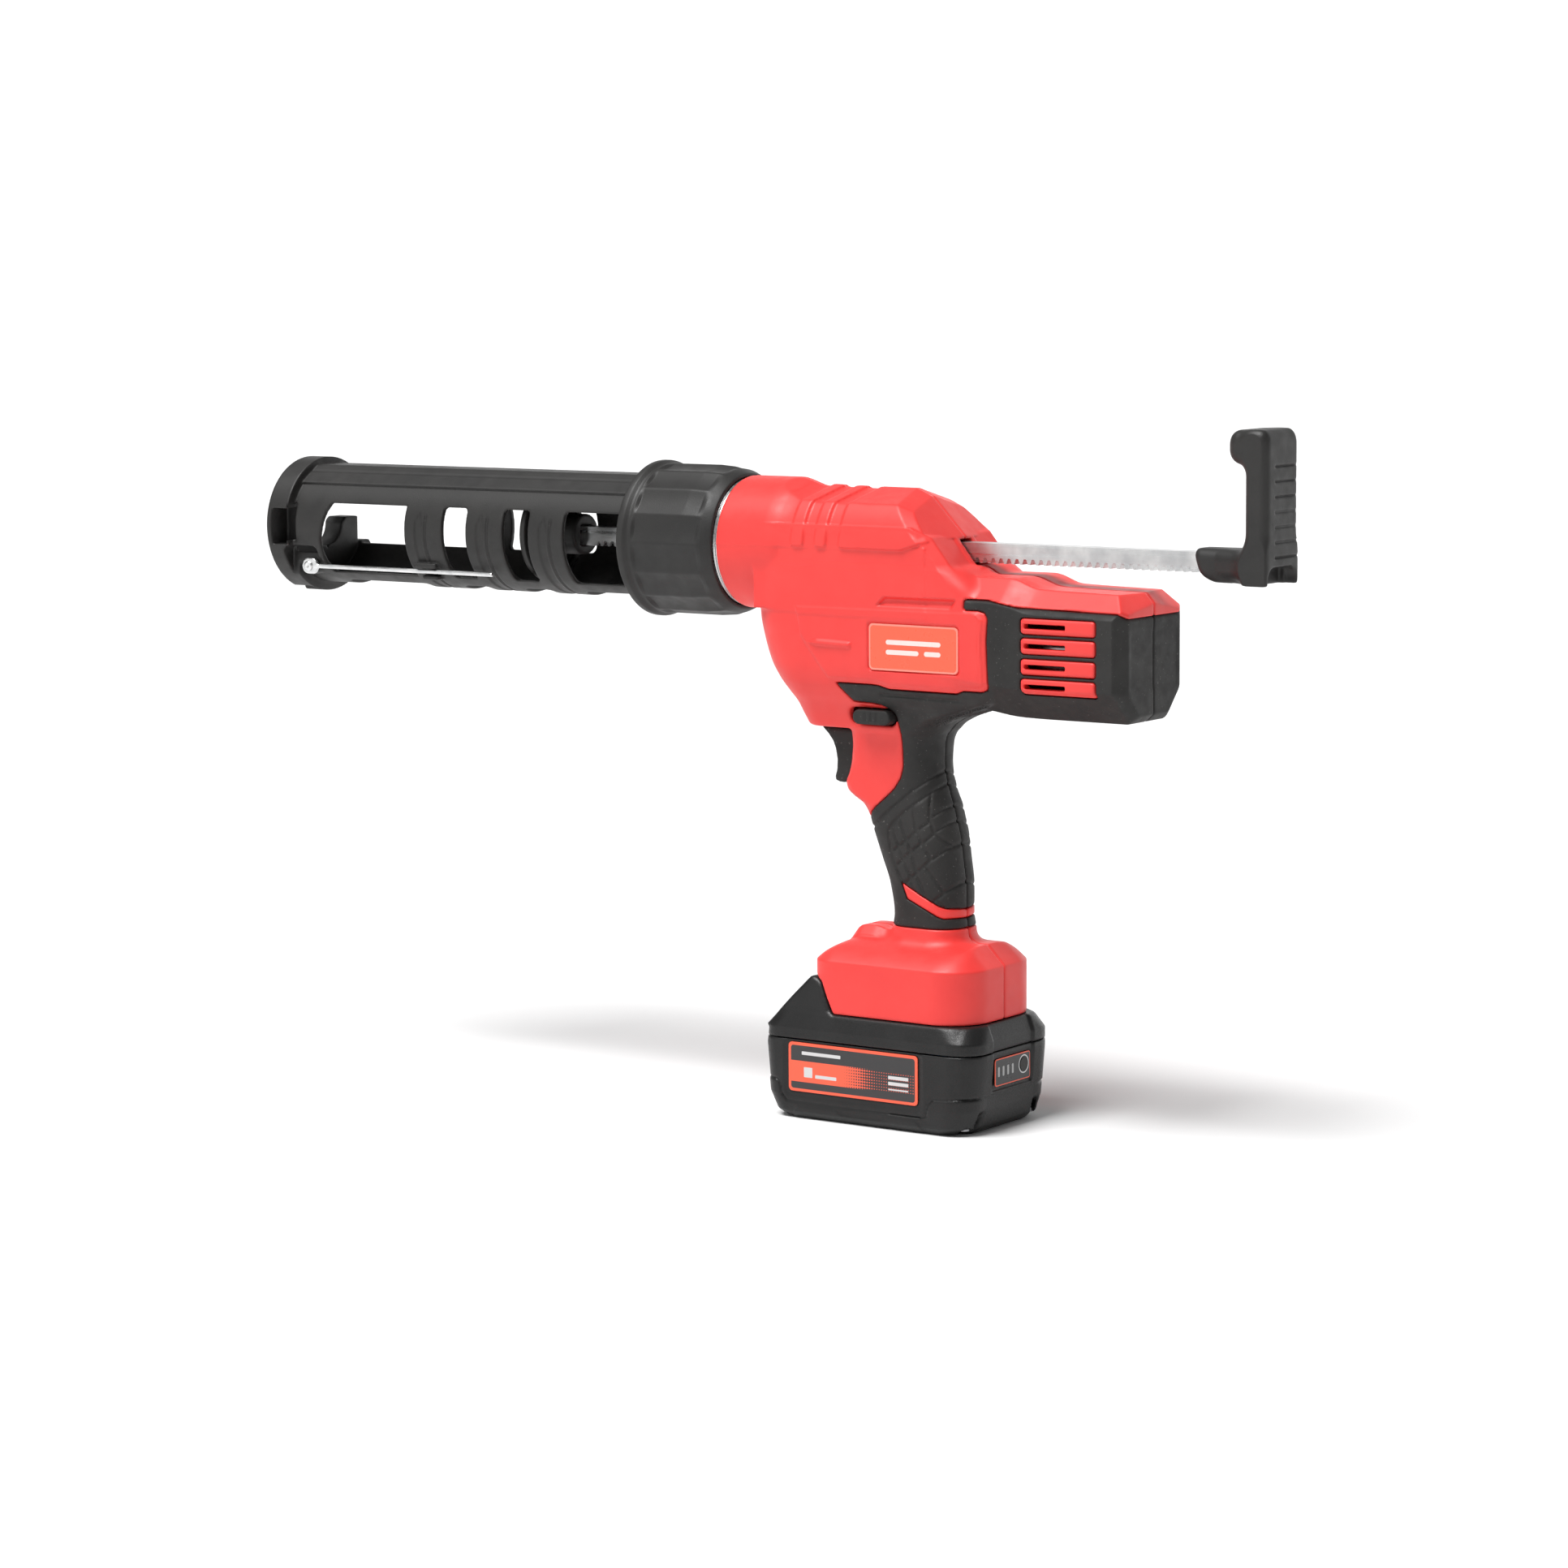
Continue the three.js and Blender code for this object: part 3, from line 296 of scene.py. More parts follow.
# ---------- materials ----------
class Nodes:
    """A Principled material and short calls for the nodes that feed it."""

    def __init__(self, name, color, rough, metal=0.0, specular=0.5):
        self.material = bpy.data.materials.new(name)
        self.material.use_nodes = True
        self.tree = self.material.node_tree
        self.shader = self.tree.nodes["Principled BSDF"]
        self.shader.inputs["Base Color"].default_value = (*color, 1)
        self.shader.inputs["Roughness"].default_value = rough
        self.shader.inputs["Metallic"].default_value = metal
        self.shader.inputs["Specular IOR Level"].default_value = specular
        self.place = self.new("TexCoord").outputs["Object"]

    def new(self, kind):
        return self.tree.nodes.new("ShaderNode" + kind)

    def link(self, a, b):
        self.tree.links.new(a, b)

    def noise(self, scale, detail=3.0, stretch=None):
        node = self.new("TexNoise")
        node.inputs["Scale"].default_value = scale
        node.inputs["Detail"].default_value = detail
        place = self.place
        if stretch:
            mapping = self.new("Mapping")
            mapping.inputs["Scale"].default_value = stretch
            self.link(self.place, mapping.inputs["Vector"])
            place = mapping.outputs["Vector"]
        self.link(place, node.inputs["Vector"])
        return node.outputs["Fac"]

    def span(self, value, low, high, out_low=0.0, out_high=1.0):
        node = self.new("MapRange")
        for key, number in (("From Min", low), ("From Max", high),
                            ("To Min", out_low), ("To Max", out_high)):
            node.inputs[key].default_value = number
        self.link(value, node.inputs["Value"])
        return node.outputs["Result"]

    def blend(self, factor, first, second):
        node = self.new("Mix")
        node.data_type = "RGBA"
        self.link(factor, node.inputs["Factor"])
        for socket, value in ((node.inputs[6], first), (node.inputs[7], second)):
            if isinstance(value, tuple):
                socket.default_value = (*value, 1)
            else:
                self.link(value, socket)
        return node.outputs[2]

    def maths(self, operation, a, b=0.0, c=0.0):
        node = self.new("Math")
        node.operation = operation
        for socket, value in zip(node.inputs, (a, b, c)):
            if isinstance(value, (int, float)):
                socket.default_value = value
            else:
                self.link(value, socket)
        return node.outputs[0]

    def color(self, socket):
        self.link(socket, self.shader.inputs["Base Color"])

    def rough(self, socket):
        self.link(socket, self.shader.inputs["Roughness"])

    def mottle(self, scale, detail, dark, light, edge=0.35):
        """Cloudy colour between two tones."""
        self.color(self.blend(self.span(self.noise(scale, detail), edge, 1 - edge), dark, light))

    def sheen(self, scale, detail, low, high, edge=0.3, stretch=None):
        """Roughness that wanders between two values."""
        self.rough(self.span(self.noise(scale, detail, stretch), edge, 1 - edge, low, high))

    def bump(self, height, depth_mm):
        node = self.new("Bump")
        node.inputs["Strength"].default_value = 1.0
        node.inputs["Distance"].default_value = depth_mm * MM
        self.link(height, node.inputs["Height"])
        self.link(node.outputs["Normal"], self.shader.inputs["Normal"])


def grained(name, color, darker, rough, grain_scale, grain_mm):
    """Moulded plastic: fine spark-eroded grain, faint mottling and a varying sheen."""
    m = Nodes(name, color, rough)
    m.mottle(35, 4, darker, color)
    m.sheen(160, 3, rough - 0.06, rough + 0.06)
    m.bump(m.noise(grain_scale, 2), grain_mm)
    return m.material


def soft_rubber():
    """Matt overmould with fine grain and a little dust caught in it."""
    m = Nodes("soft_rubber", (0.021, 0.020, 0.019), 0.66, specular=0.34)
    specks = m.span(m.noise(900, 1), 0.70, 0.80)
    tone = m.blend(m.span(m.noise(40, 4), 0.35, 0.65), (0.016, 0.0155, 0.015), (0.025, 0.024, 0.023))
    m.color(m.blend(m.maths("MULTIPLY", specks, 0.35), tone, (0.22, 0.21, 0.2)))
    m.sheen(220, 3, 0.54, 0.68)
    m.bump(m.noise(2600, 2), 0.035)
    return m.material


def battery_plastic():
    """Coarse spark texture that glitters where the light grazes it."""
    m = Nodes("battery_plastic", (0.008, 0.008, 0.008), 0.36, specular=0.4)
    m.mottle(60, 3, (0.005, 0.005, 0.005), (0.009, 0.009, 0.009))
    m.sheen(1500, 2, 0.32, 0.5, edge=0.35)
    m.bump(m.noise(1700, 3), 0.09)
    return m.material


def zinc(name="zinc_plate", tone=0.6, scratch=(8, 700, 700)):
    """Zinc-plated steel with spangle and drawn scratches along the tool."""
    m = Nodes(name, (tone, tone, tone), 0.3, metal=1.0)
    dull, clean = (0.78, 0.79, 0.8), (1.08, 1.08, 1.07)
    m.mottle(120, 4, tuple(tone * c for c in dull), tuple(tone * c for c in clean), edge=0.3)
    m.sheen(1.0, 4, 0.22, 0.45, stretch=scratch)
    m.bump(m.noise(1.0, 3, scratch), 0.03)
    return m.material


def plain_metal(name, color, rough):
    """Machined steel with a dull, uneven surface."""
    m = Nodes(name, color, rough, metal=1.0)
    m.mottle(200, 4, tuple(c * 0.7 for c in color), color, edge=0.3)
    m.sheen(500, 3, rough - 0.08, rough + 0.12)
    m.bump(m.noise(900, 3), 0.02)
    return m.material


RED = (0.84, 0.046, 0.040)
red_plastic = grained("red_plastic", RED, (0.78, 0.038, 0.034), 0.46, 2200, 0.035)
black_nylon = grained("black_nylon", (0.0165, 0.0155, 0.0145), (0.011, 0.0105, 0.010), 0.52, 1900, 0.06)
soft_black = soft_rubber()
battery_black = battery_plastic()
zinc_plate = zinc()
bright_zinc = zinc("bright_zinc", 0.82, (60, 900, 900))
gear_steel = plain_metal("gear_steel", (0.3, 0.3, 0.31), 0.35)
board_green = grained("board_green", (0.02, 0.16, 0.06), (0.015, 0.12, 0.05), 0.4, 900, 0.02)
cell_blue = grained("cell_sleeve", (0.04, 0.14, 0.42), (0.03, 0.11, 0.36), 0.3, 500, 0.01)


# ---------- housing ----------
BODY_TABLE = [  # z, front x, rear x, half width, front radius, rear radius
    (92, -2.5, 35, 16, 12, 13.5), (98, -2, 34.2, 15.5, 12, 13.5), (112, -4, 34, 15.8, 12, 13.5),
    (124, -8, 32.5, 16.3, 12, 14), (135, -11.8, 31, 16.8, 12, 14.5), (144, -14.8, 28.6, 17, 12, 14.5),
    (149, -17.6, 27.3, 17, 11, 14.5), (152.6, -22.6, 26, 16.6, 9, 14.5),
    (155.5, -25.6, 25, 16.3, 8, 14.5), (158.5, -26, 24.2, 16.2, 7, 14.5),
    (163, -24.3, 23, 16.2, 7, 14.5), (170, -22.6, 22.3, 16.4, 7, 14.5),
    (178, -22.2, 22.6, 17, 8, 14.5), (186, -22.2, 25.5, 18.4, 8, 14.5), (200, -22, 40, 20, 8, 12),
]
HEAD_TABLE = [
    (182, -47.6, 24, 18.2, 13, 14), (186, -49, 26.5, 18.6, 13.5, 14), (190, -51, 32, 19.6, 14, 12),
    (195.5, -53.6, 47, 22, 16, 8), (201, -57, 62, 25.6, 18, 6), (207, -61, 66, 28.6, 20, 5),
    (215, -65.4, 66, 30, 21, 5), (226, -69.4, 66, 30.4, 22, 6), (237, -71.7, 66, 30.4, 22, 6),
    (250, -72.2, 60, 30.4, 22, 14), (264, -71, 44, 30, 22, 14),
]
SOFT_OUTLINE = [  # black region on the tool's side, x and z
    (52, 248.6), (63.5, 248.6), (66, 248.2), (80, 245.8), (131, 244.8), (134.2, 242), (160, 242),
    (160, 180), (50, 180), (50, 92.6), (-9, 92.6), (-10, 96), (-22, 108), (-30, 130), (-13.6, 141.5),
    (-9, 146), (-2, 152), (4, 157.6),
    (7.4, 162.6), (8.9, 168), (8.9, 186), (8, 190.6), (5, 195), (1, 197), (-3, 197.6),
    (-13.6, 198.2), (-20.4, 207), (-2, 207), (3, 206.8), (9, 205.2), (46, 205), (50, 206.5),
    (60, 206.5), (63, 207.6), (64.2, 210.4), (63.4, 230), (64, 240), (62.6, 242.9), (59, 243.8),
    (52.4, 243.8), (51.6, 244.6), (51.6, 248),
]
PANEL = [  # raised red panel that carries the badge
    (-39, 228), (-42, 242.6), (59, 243.2), (62.4, 240), (61.8, 230), (62.6, 210.4), (60, 207.9),
    (49.6, 207.9), (45.6, 206.4), (9.4, 206.6), (3.2, 208.2), (-24, 208.4),
]
BAND = [(8.6, 114), (20, 108.1), (29, 104.1), (33, 103.2), (42, 103.9), (64, 106.4),
        (64, 103), (42, 99.6), (32, 98.2), (28.6, 98.9), (11.8, 106.3)]
VENT_ROWS = (238, 229, 219.6, 210.6)
PATTERN = [  # grip web, as seen square on to the side of the grip
    [(-7, 139), (0, 145.6), (8, 152), (15, 157.4), (23, 162.4), (30, 166.6), (41, 171.6)],
    [(11, 114), (9, 113.6), (5.4, 121), (2.8, 128), (1.4, 135), (2, 138.6), (4.5, 142), (12, 148.2),
     (18.5, 152.6), (26, 157.6), (33, 161.4), (43, 165)],
    [(26, 146), (33, 150), (44, 154.4)], [(28, 139.2), (36, 143.6), (48, 148)],
    [(27, 138), (32, 135.2), (38, 133.2), (42, 134.6), (50, 138)],
    [(26, 126), (33, 130.6), (40, 133.6)], [(33, 111), (40.6, 115.2), (52, 120)],
    [(25, 157), (24, 145)], [(24, 145), (27, 138), (20, 132.6), (25, 125.6)],
    [(15, 149.6), (16.6, 139.4), (20, 132.2)], [(7.8, 143), (11, 134.4), (14, 128), (17, 118.6)],
    [(3.4, 139), (7, 130.4), (10, 123.2), (14.4, 115)],
    [(4.6, 128.6), (11, 133.4), (17.6, 138.8), (24, 143)],
    [(6.6, 122), (13, 127.8), (19, 132.4)], [(10.6, 113.4), (17, 118.8), (25, 125.6)],
    [(22, 121.4), (32.4, 110.6), (25.4, 105.4)], [(17.2, 117), (22.4, 107)],
    [(13.8, 114), (16, 110)], [(29, 106), (32.4, 103.4)],
]
SKIN = 2.0  # thickness of the overmould and its seat
WALL = 4.4  # wall of the moulded shells, overmould included
SPLIT = 0.16  # half the gap between red and black
SCREWS = [(-57, 226), (38, 247.5), (124, 223), (2, 152), (16, 99), (-20, 76)]


def column(g, table):
    """A stack of rounded sections whose outline changes with height."""
    z = g.z
    rows = [[(row[0], row[i]) for row in table] for i in range(1, 6)]
    x0, x1, half, r0, r1 = (curve(z, row) for row in rows)
    return plan(g.x, g.y, x0, x1, half, r0, r1)


def plane(g, nx, ny, nz, x, y, z):
    """Distance to a plane through (x, y, z), mirrored about the middle plane."""
    size = math.sqrt(nx * nx + ny * ny + nz * nz)
    return (nx * (g.x - x) + ny * (abs(g.y) - y) + nz * (g.z - z)) / size


def upper_form(g):
    """Neck, ribbed cap and the slanted rear wall round the rack's exit."""
    x, y, z = g.x, abs(g.y), g.z
    pads = np.zeros((len(x), 1, g.counts[2]), float32)
    for x0, x1 in ((-44.4, -36.4), (-31, -23.6), (-17.4, 60)):
        lean = maximum(z - 290, 0) * 0.55
        area = plan(x - lean, z - 300, x0, x1, 30.6, 2.0, 2.0)
        pads = maximum(pads, raised(area, 1.2, 0.9))
    radius = curve(x, [(-86, 31.4), (-60, 31.4), (-46, 30.2), (40, 30.2)])
    tube = hypot(y, z - AXIS_Z) - radius - pads
    crest = curve(x, [(-86, 306), (-66, 303), (-54, 299.6), (-42, 296.6), (6, 296), (40, 296)])
    roof = 0.957 * (z - crest) + 0.29 * y - pads * 0.8
    rear = plane(g, 0.716, 0.1, 0.698, 14.6, 0, 294.4)
    cap = smax(tube, roof, 0.5)
    cap = top(cap, rear, (cap + rear + 3.4) * 0.74)
    under = 269.0 + maximum(x - 14.5, 0) * 0.3 - z
    cap = smax(cap, np.where(x < 60, under, 0), 0.5)
    neck = smax(hypot(y, z - AXIS_Z) - radius, x + 50, 6)
    neck = top(neck, 0.957 * (z - crest) + 0.29 * y)
    low = top(y - 30.0, z - 271, x - 30, -66 - x, 240 - z)
    slant = plane(g, 0.776, 0.0, 0.63, 45.4, 0, 258)
    side = top(y - 29.5, z - 280)
    slant = slant - 0.7 * clip(8.4 - y, 0, 0.6) / 0.6
    wall = top(side, slant, (side + slant + 4.2) * 0.74)
    wall = top(wall, 240 - z, -60 - x)
    low = top(low, (side + slant + 4.0) * 0.74)
    form = smin(minimum(cap, wall), low, 0.5)
    form = smin(form, neck, 0.8)
    return smax(form, -86.4 - x, 1.0)


def motor_form(g):
    """Motor end: chamfered top, rounded underside, bevelled rear."""
    x, y, z = g.x, abs(g.y), g.z
    low = curve(x, [(0, 206), (20, 203), (40, 199), (58, 196.6), (74, 194.8), (90, 194.5), (134, 194.5)])
    high = curve(x, [(0, 258.4), (70, 258.4), (73, 258), (85, 254.2), (90, 253.9), (134, 253)])
    half = curve(x, [(0, 29), (50, 29.8), (74, 30.4), (134, 30.2)])
    roof = chamfered(y - half, z - high, 11)
    belly = smax(chamfered(y - half, low - z, 15), (y - half) * 0.42 + (low - z) * 0.908 + 3.2, 2.4)
    form = smax(roof, belly, 0.6)
    form = top(form, -x)
    form = smax(form, plane(g, 0.86, 0.51, 0, 134.2, 22.8, 0), 0.5)
    form = smax(form, plane(g, 0.74, 0.112, 0.66, 134.2, 0, 248.4), 0.5)
    form = smax(form, plane(g, 0.8, 0.44, -0.41, 134.2, 18.9, 204.6), 0.7)
    form = smax(form, plane(g, 0.66, 0, -0.75, 134.2, 0, 198.2), 0.7)
    dent = 0.35 * clip((z - 209) / 3, 0, 1) * clip((238 - z) / 3, 0, 1) * clip((22 - y) / 2, 0, 1)
    return smax(form, x - 134.2 + dent, 0.5)


def foot_form(g):
    """Red foot that the battery slides under."""
    x, y, z = g.x, abs(g.y), g.z
    side = plan(x, y, -34.4, 54.5, 33.5, 13, 20)
    lid = chamfered(side, z - 85.5, 9.5)
    lid = smax(lid, plane(g, 0, 0.34, 0.94, 0, 0, 91), 3)
    lid = smax(lid, plane(g, -0.5, 0, 0.87, -20, 0, 86), 3)
    step = minimum(-0.905 * (x + 19.6) - 0.425 * (z - 51.3), -0.425 * (x + 26.5) - 0.905 * (z - 66))
    lid = smax(smax(lid, step, 0.8), 51.3 - z, 0.6)
    crest = curve(x, [(-30, 84), (-24, 88), (-19, 90.4), (-13, 90.6), (-4, 88.6), (14, 86.6)])
    ridge = chamfered(plan(x, y, -29, 14, 11, 9, 2), z - crest, 4)
    ridge = top(ridge, 75 - z)
    return smin(lid, ridge, 1.6)


def side_relief(g):
    """Height added to surfaces that face the side, in x and z only."""
    x, z = g.x, g.z
    panel = outline(x, z, PANEL)
    relief = raised(panel, 0.85, 1.5)
    relief = relief - groove(abs(panel + 2.0), 0.4, 0.3) * (x > 45)
    relief = relief - raised(plan(x, z - 225, -0.8, 49.8, 11.6, 2.4, 2.4), 1.1, 0.4)
    shelf = [(3, 243.6), (8, 248.4), (48.4, 248.6), (45, 243.8)]
    relief = relief - raised(outline(x, z, shelf), 1.9, 1.3)
    wedge = [(-35, 225.4), (-29, 227.4), (-9.4, 226.8), (-9.4, 223.2), (-29, 223.6)]
    relief = relief + raised(outline(x, z, wedge), 1.3, 1.3)
    relief = relief - groove(path(x, z, [(4, 202.4), (46, 201.4)]), 0.9, 0.8)
    lever_dish = plan(x, z - LEVER_Z, -19.4, 8.6, 5.4, 5.4, 5.4)
    relief = relief - raised(lever_dish, 0.5, 0.8)
    for row in VENT_ROWS:
        frame_area = plan(x, z - row, 82.4, 120.6, 3.1, 1.2, 1.2)
        relief = relief + raised(frame_area, 0.5, 0.5)
        relief = relief - groove(abs(frame_area + 1.1), 0.35, 0.28)
    return relief


def square_on(x, y, z):
    """Where a point on the grip's side appears in the side view that PATTERN and BAND are drawn in."""
    inward = GRIP_Y - abs(y)
    return np.broadcast_arrays(x + inward * 0.66, z + inward * 0.165)


def grip_relief(x, y, z):
    """Depth of the web pattern, looked up where the side view meets the surface."""
    step = 0.25
    us, vs = np.arange(-20, 70, step, dtype=float32), np.arange(94, 180, step, dtype=float32)
    u, v = us[:, None], vs[None, :]
    depth = np.zeros((len(us), len(vs)), float32)
    for line in PATTERN:
        depth = maximum(depth, groove(path(u, v, line), 0.9, 0.8))
    depth = depth * (outline(u, v, BAND) > 0.4)
    across, up = square_on(x, y, z)
    i = clip((across - us[0]) / step, 0, len(us) - 2)
    j = clip((up - vs[0]) / step, 0, len(vs) - 2)
    i0, j0 = i.astype(np.int32), j.astype(np.int32)
    fi, fj = i - i0, j - j0
    return ((depth[i0, j0] * (1 - fi) + depth[i0 + 1, j0] * fi) * (1 - fj)
            + (depth[i0, j0 + 1] * (1 - fi) + depth[i0 + 1, j0 + 1] * fi) * fj)


def soft_field(g):
    """Black region of the overmould: negative where the surface is soft black."""
    x, z = g.x, g.z
    field = outline(x, z, SOFT_OUTLINE)
    for row in VENT_ROWS:
        field = maximum(field, -plan(x, z - row, 81.8, 121.2, 3.7, 1.6, 1.6))
    low = z[0, 0] < 125
    band = np.full(np.broadcast_shapes(x.shape, g.y.shape, z.shape), 9, float32)
    band[:, :, low] = outline(*square_on(x, g.y, z[:, :, low]), BAND)
    return maximum(field, -band)


def openings(g):
    """What is cut through the shells: rack way, trigger, lever, vents and the battery's channel."""
    x, y, z = g.x, abs(g.y), g.z
    cuts = [
        top(y - 5.0, abs(z - RACK_Z) - 5.8),
        top(y - 9.0, x + 10.8, 156.2 - z, z - 187),
        top(plan(x, z - LEVER_Z, -18.4, 7.8, 4.2, 4.1, 4.1), 12 - y),
        top(abs(x - 2.3) - 47.3, y - 24.5, abs(z - 58) - 2.6),
        top(abs(x - 2.3) - 47.3, y - 20.5, abs(z - 53) - 5),
        top(abs(x - 21) - 15, y - 14.5, abs(z - 64) - 8),
        top(hypot(y, z - AXIS_Z) - 27.4, x + 58),
    ]
    for row in VENT_ROWS:
        cuts.append(top(plan(x, z - row, 83.8, 105.6, 1.1, 0.5, 0.5), 12 - y))
    out = cuts[0]
    for cut in cuts[1:]:
        out = minimum(out, cut)
    return out


def housing():
    """Both red shells and their soft skins, worked out on the left half and mirrored."""
    step = 0.64
    g = Grid((-88, -34.5, 49.5), (136, 2 * step, 303), step)
    grip = top(column(g, BODY_TABLE), g.z - 206, 78 - g.z)
    head = smax(smax(column(g, HEAD_TABLE), 184.4 - g.z, 2.2), g.z - 262, 3)
    head = top(head, g.x - 66)
    form = smin(grip, head, 2.2)
    form = smin(form, foot_form(g), 6)
    form = smin(form, motor_form(g), 2.0)
    form = smin(form, upper_form(g), 2.0)
    relief = side_relief(g)
    side = clip((abs(g.y) - 12) / 6, 0, 1)
    outer = form - relief * side
    low = slice(int((94 - g.low[2]) / g.step), int((181 - g.low[2]) / g.step))
    outer[:, :, low] += grip_relief(g.x, g.y, g.z[:, :, low]) * (form[:, :, low] > -3)
    del relief, side
    soft = soft_field(g)
    cut = openings(g)
    half = g.y + 0.12
    cavity = smax(form + WALL, 63.4 - g.z, 0.5)
    shell = maximum(outer, -cavity)
    shell = maximum(shell, -cut)
    rib = top(form + 1, g.x + 15.2, abs(g.z - LEVER_Z) - 6, -1.8 - g.y)
    shell = smax(minimum(shell, rib), half, 1.1)
    red = minimum(smax(shell, SPLIT - soft, 0.9), top(shell, form + SKIN, soft + SPLIT))
    black = smax(smax(shell, soft + SPLIT, 0.9), -(form + SKIN - 0.25), 0.3)
    holes = None
    for sx, sz in SCREWS:
        d = hypot(g.x - sx, g.z - sz) - 3.6
        d = smax(d, 8.7 - abs(g.y), 0.4)
        holes = d if holes is None else minimum(holes, d)
    moulding("red_shell_left", red, g, red_plastic, "tool", "housing_left")
    moulding("soft_grip_left", black, g, soft_black, "tool", "overmould_left")
    moulding("red_shell_right", smax(red, -holes, 0.5), g, red_plastic, "tool", "housing_right", True)
    moulding("soft_grip_right", smax(black, -holes, 0.5), g, soft_black, "tool", "overmould_right", True)


# ---------- small builders ----------
def rounded_ring(u0, u1, v0, v1, r, steps=5):
    """Points of a rounded rectangle, anticlockwise."""
    ring = []
    corners = ((u1 - r, v1 - r), (u0 + r, v1 - r), (u0 + r, v0 + r), (u1 - r, v0 + r))
    for quarter, (cu, cv) in enumerate(corners):
        for t in np.linspace(0, 1, steps + 1):
            a = (quarter + t) * math.pi / 2
            ring.append((cu + r * math.cos(a), cv + r * math.sin(a)))
    return ring


def tablet(name, axis, span, rise, radius, bevel, material, body, node):
    """A thin rounded plate: span (u0, u1, v0, v1) in the plane, rise (from, to) along the axis."""
    u0, u1, v0, v1 = span
    low, high = rise
    lift = math.copysign(bevel, high - low)
    layers = [(0, low), (0, high - lift), (bevel * 0.35, high - lift * 0.3), (bevel, high)]
    points, faces = [], []
    for inset, w in layers:
        for u, v in rounded_ring(u0 + inset, u1 - inset, v0 + inset, v1 - inset, radius):
            points.append((w, u, v) if axis == "x" else (u, w, v))
    n = len(points) // len(layers)
    for k in range(len(layers) - 1):
        for i in range(n):
            a, b = k * n + i, k * n + (i + 1) % n
            faces += [(a, b, b + n), (a, b + n, a + n)]
    for base, turn in ((0, -1), ((len(layers) - 1) * n, 1)):
        centre = len(points)
        points.append(tuple(np.mean(points[base:base + n], axis=0)))
        faces += [(centre, base + i, base + (i + 1) % n)[::turn] for i in range(n)]
    flip = (axis == "x") == (high < low)
    if flip:
        faces = [f[::-1] for f in faces]
    return piece(name, points, faces, material, body, node, smooth=False)


# ---------- nose ----------
def lock_ring():
    """The fluted lock ring, and the zinc thread that it turns on."""
    flutes = 16

    def swell(angle, radius, x):
        pitch = 2 * math.pi / flutes
        across = abs((angle / pitch) % 1 - 0.5) * 2
        trough = clip(1 - (across / 0.97) ** 2, 0, 1)
        length = clip((x + 133.6) / 1.6, 0, 1) * clip((-93.5 - x) / 3.0, 0, 1)
        return -1.3 * trough * length * (radius > 33)

    profile = [(30.1, -141.2), (31, -142), (35.6, -142), (37.6, -140.6), (37.6, -137.4), (36.2, -135.4)]
    profile += [(36.1, x) for x in (-134.4, -133.6, -133, -132.4, -131.8, -131, -125, -115, -105)]
    profile += [(35.5, -97), (35.2, -95.4), (34.6, -93.8), (33.4, -91), (32.5, -89), (31.9, -88.6),
                (30.9, -88.6), (30.9, -108), (30.1, -108.4)]
    turned("knurled_lock_ring", rounded_profile(profile, 0.5, 2), black_nylon, "lock_ring",
           "lock_ring", steps=flutes * 18, swell=swell)
    thread = [(27, -100), (30.2, -100)]
    for i in range(9):
        x = -99.4 + i * 1.5
        thread += [(30.4, x), (30.4, x + 0.5), (29.8, x + 0.75), (29.8, x + 1.2)]
    thread += [(30.4, -85.9), (30.2, -85.3), (27, -85.3)]
    turned("threaded_collar", thread, zinc_plate, "tool", "threaded_ring", steps=128)


RIBS = [(-279, -255), (-240, -217), (-201, -179.5)]
FIRST_WINDOW = [(-279, 246), (-279, 280.9), (-328, 280.9), (-330.6, 276.6), (-332.6, 271), (-334.4, 264),
                (-335.2, 257), (-335.2, 251), (-333.6, 246)]
PIVOT = (-344, -25.2, 248.8)  # of the puncture needle


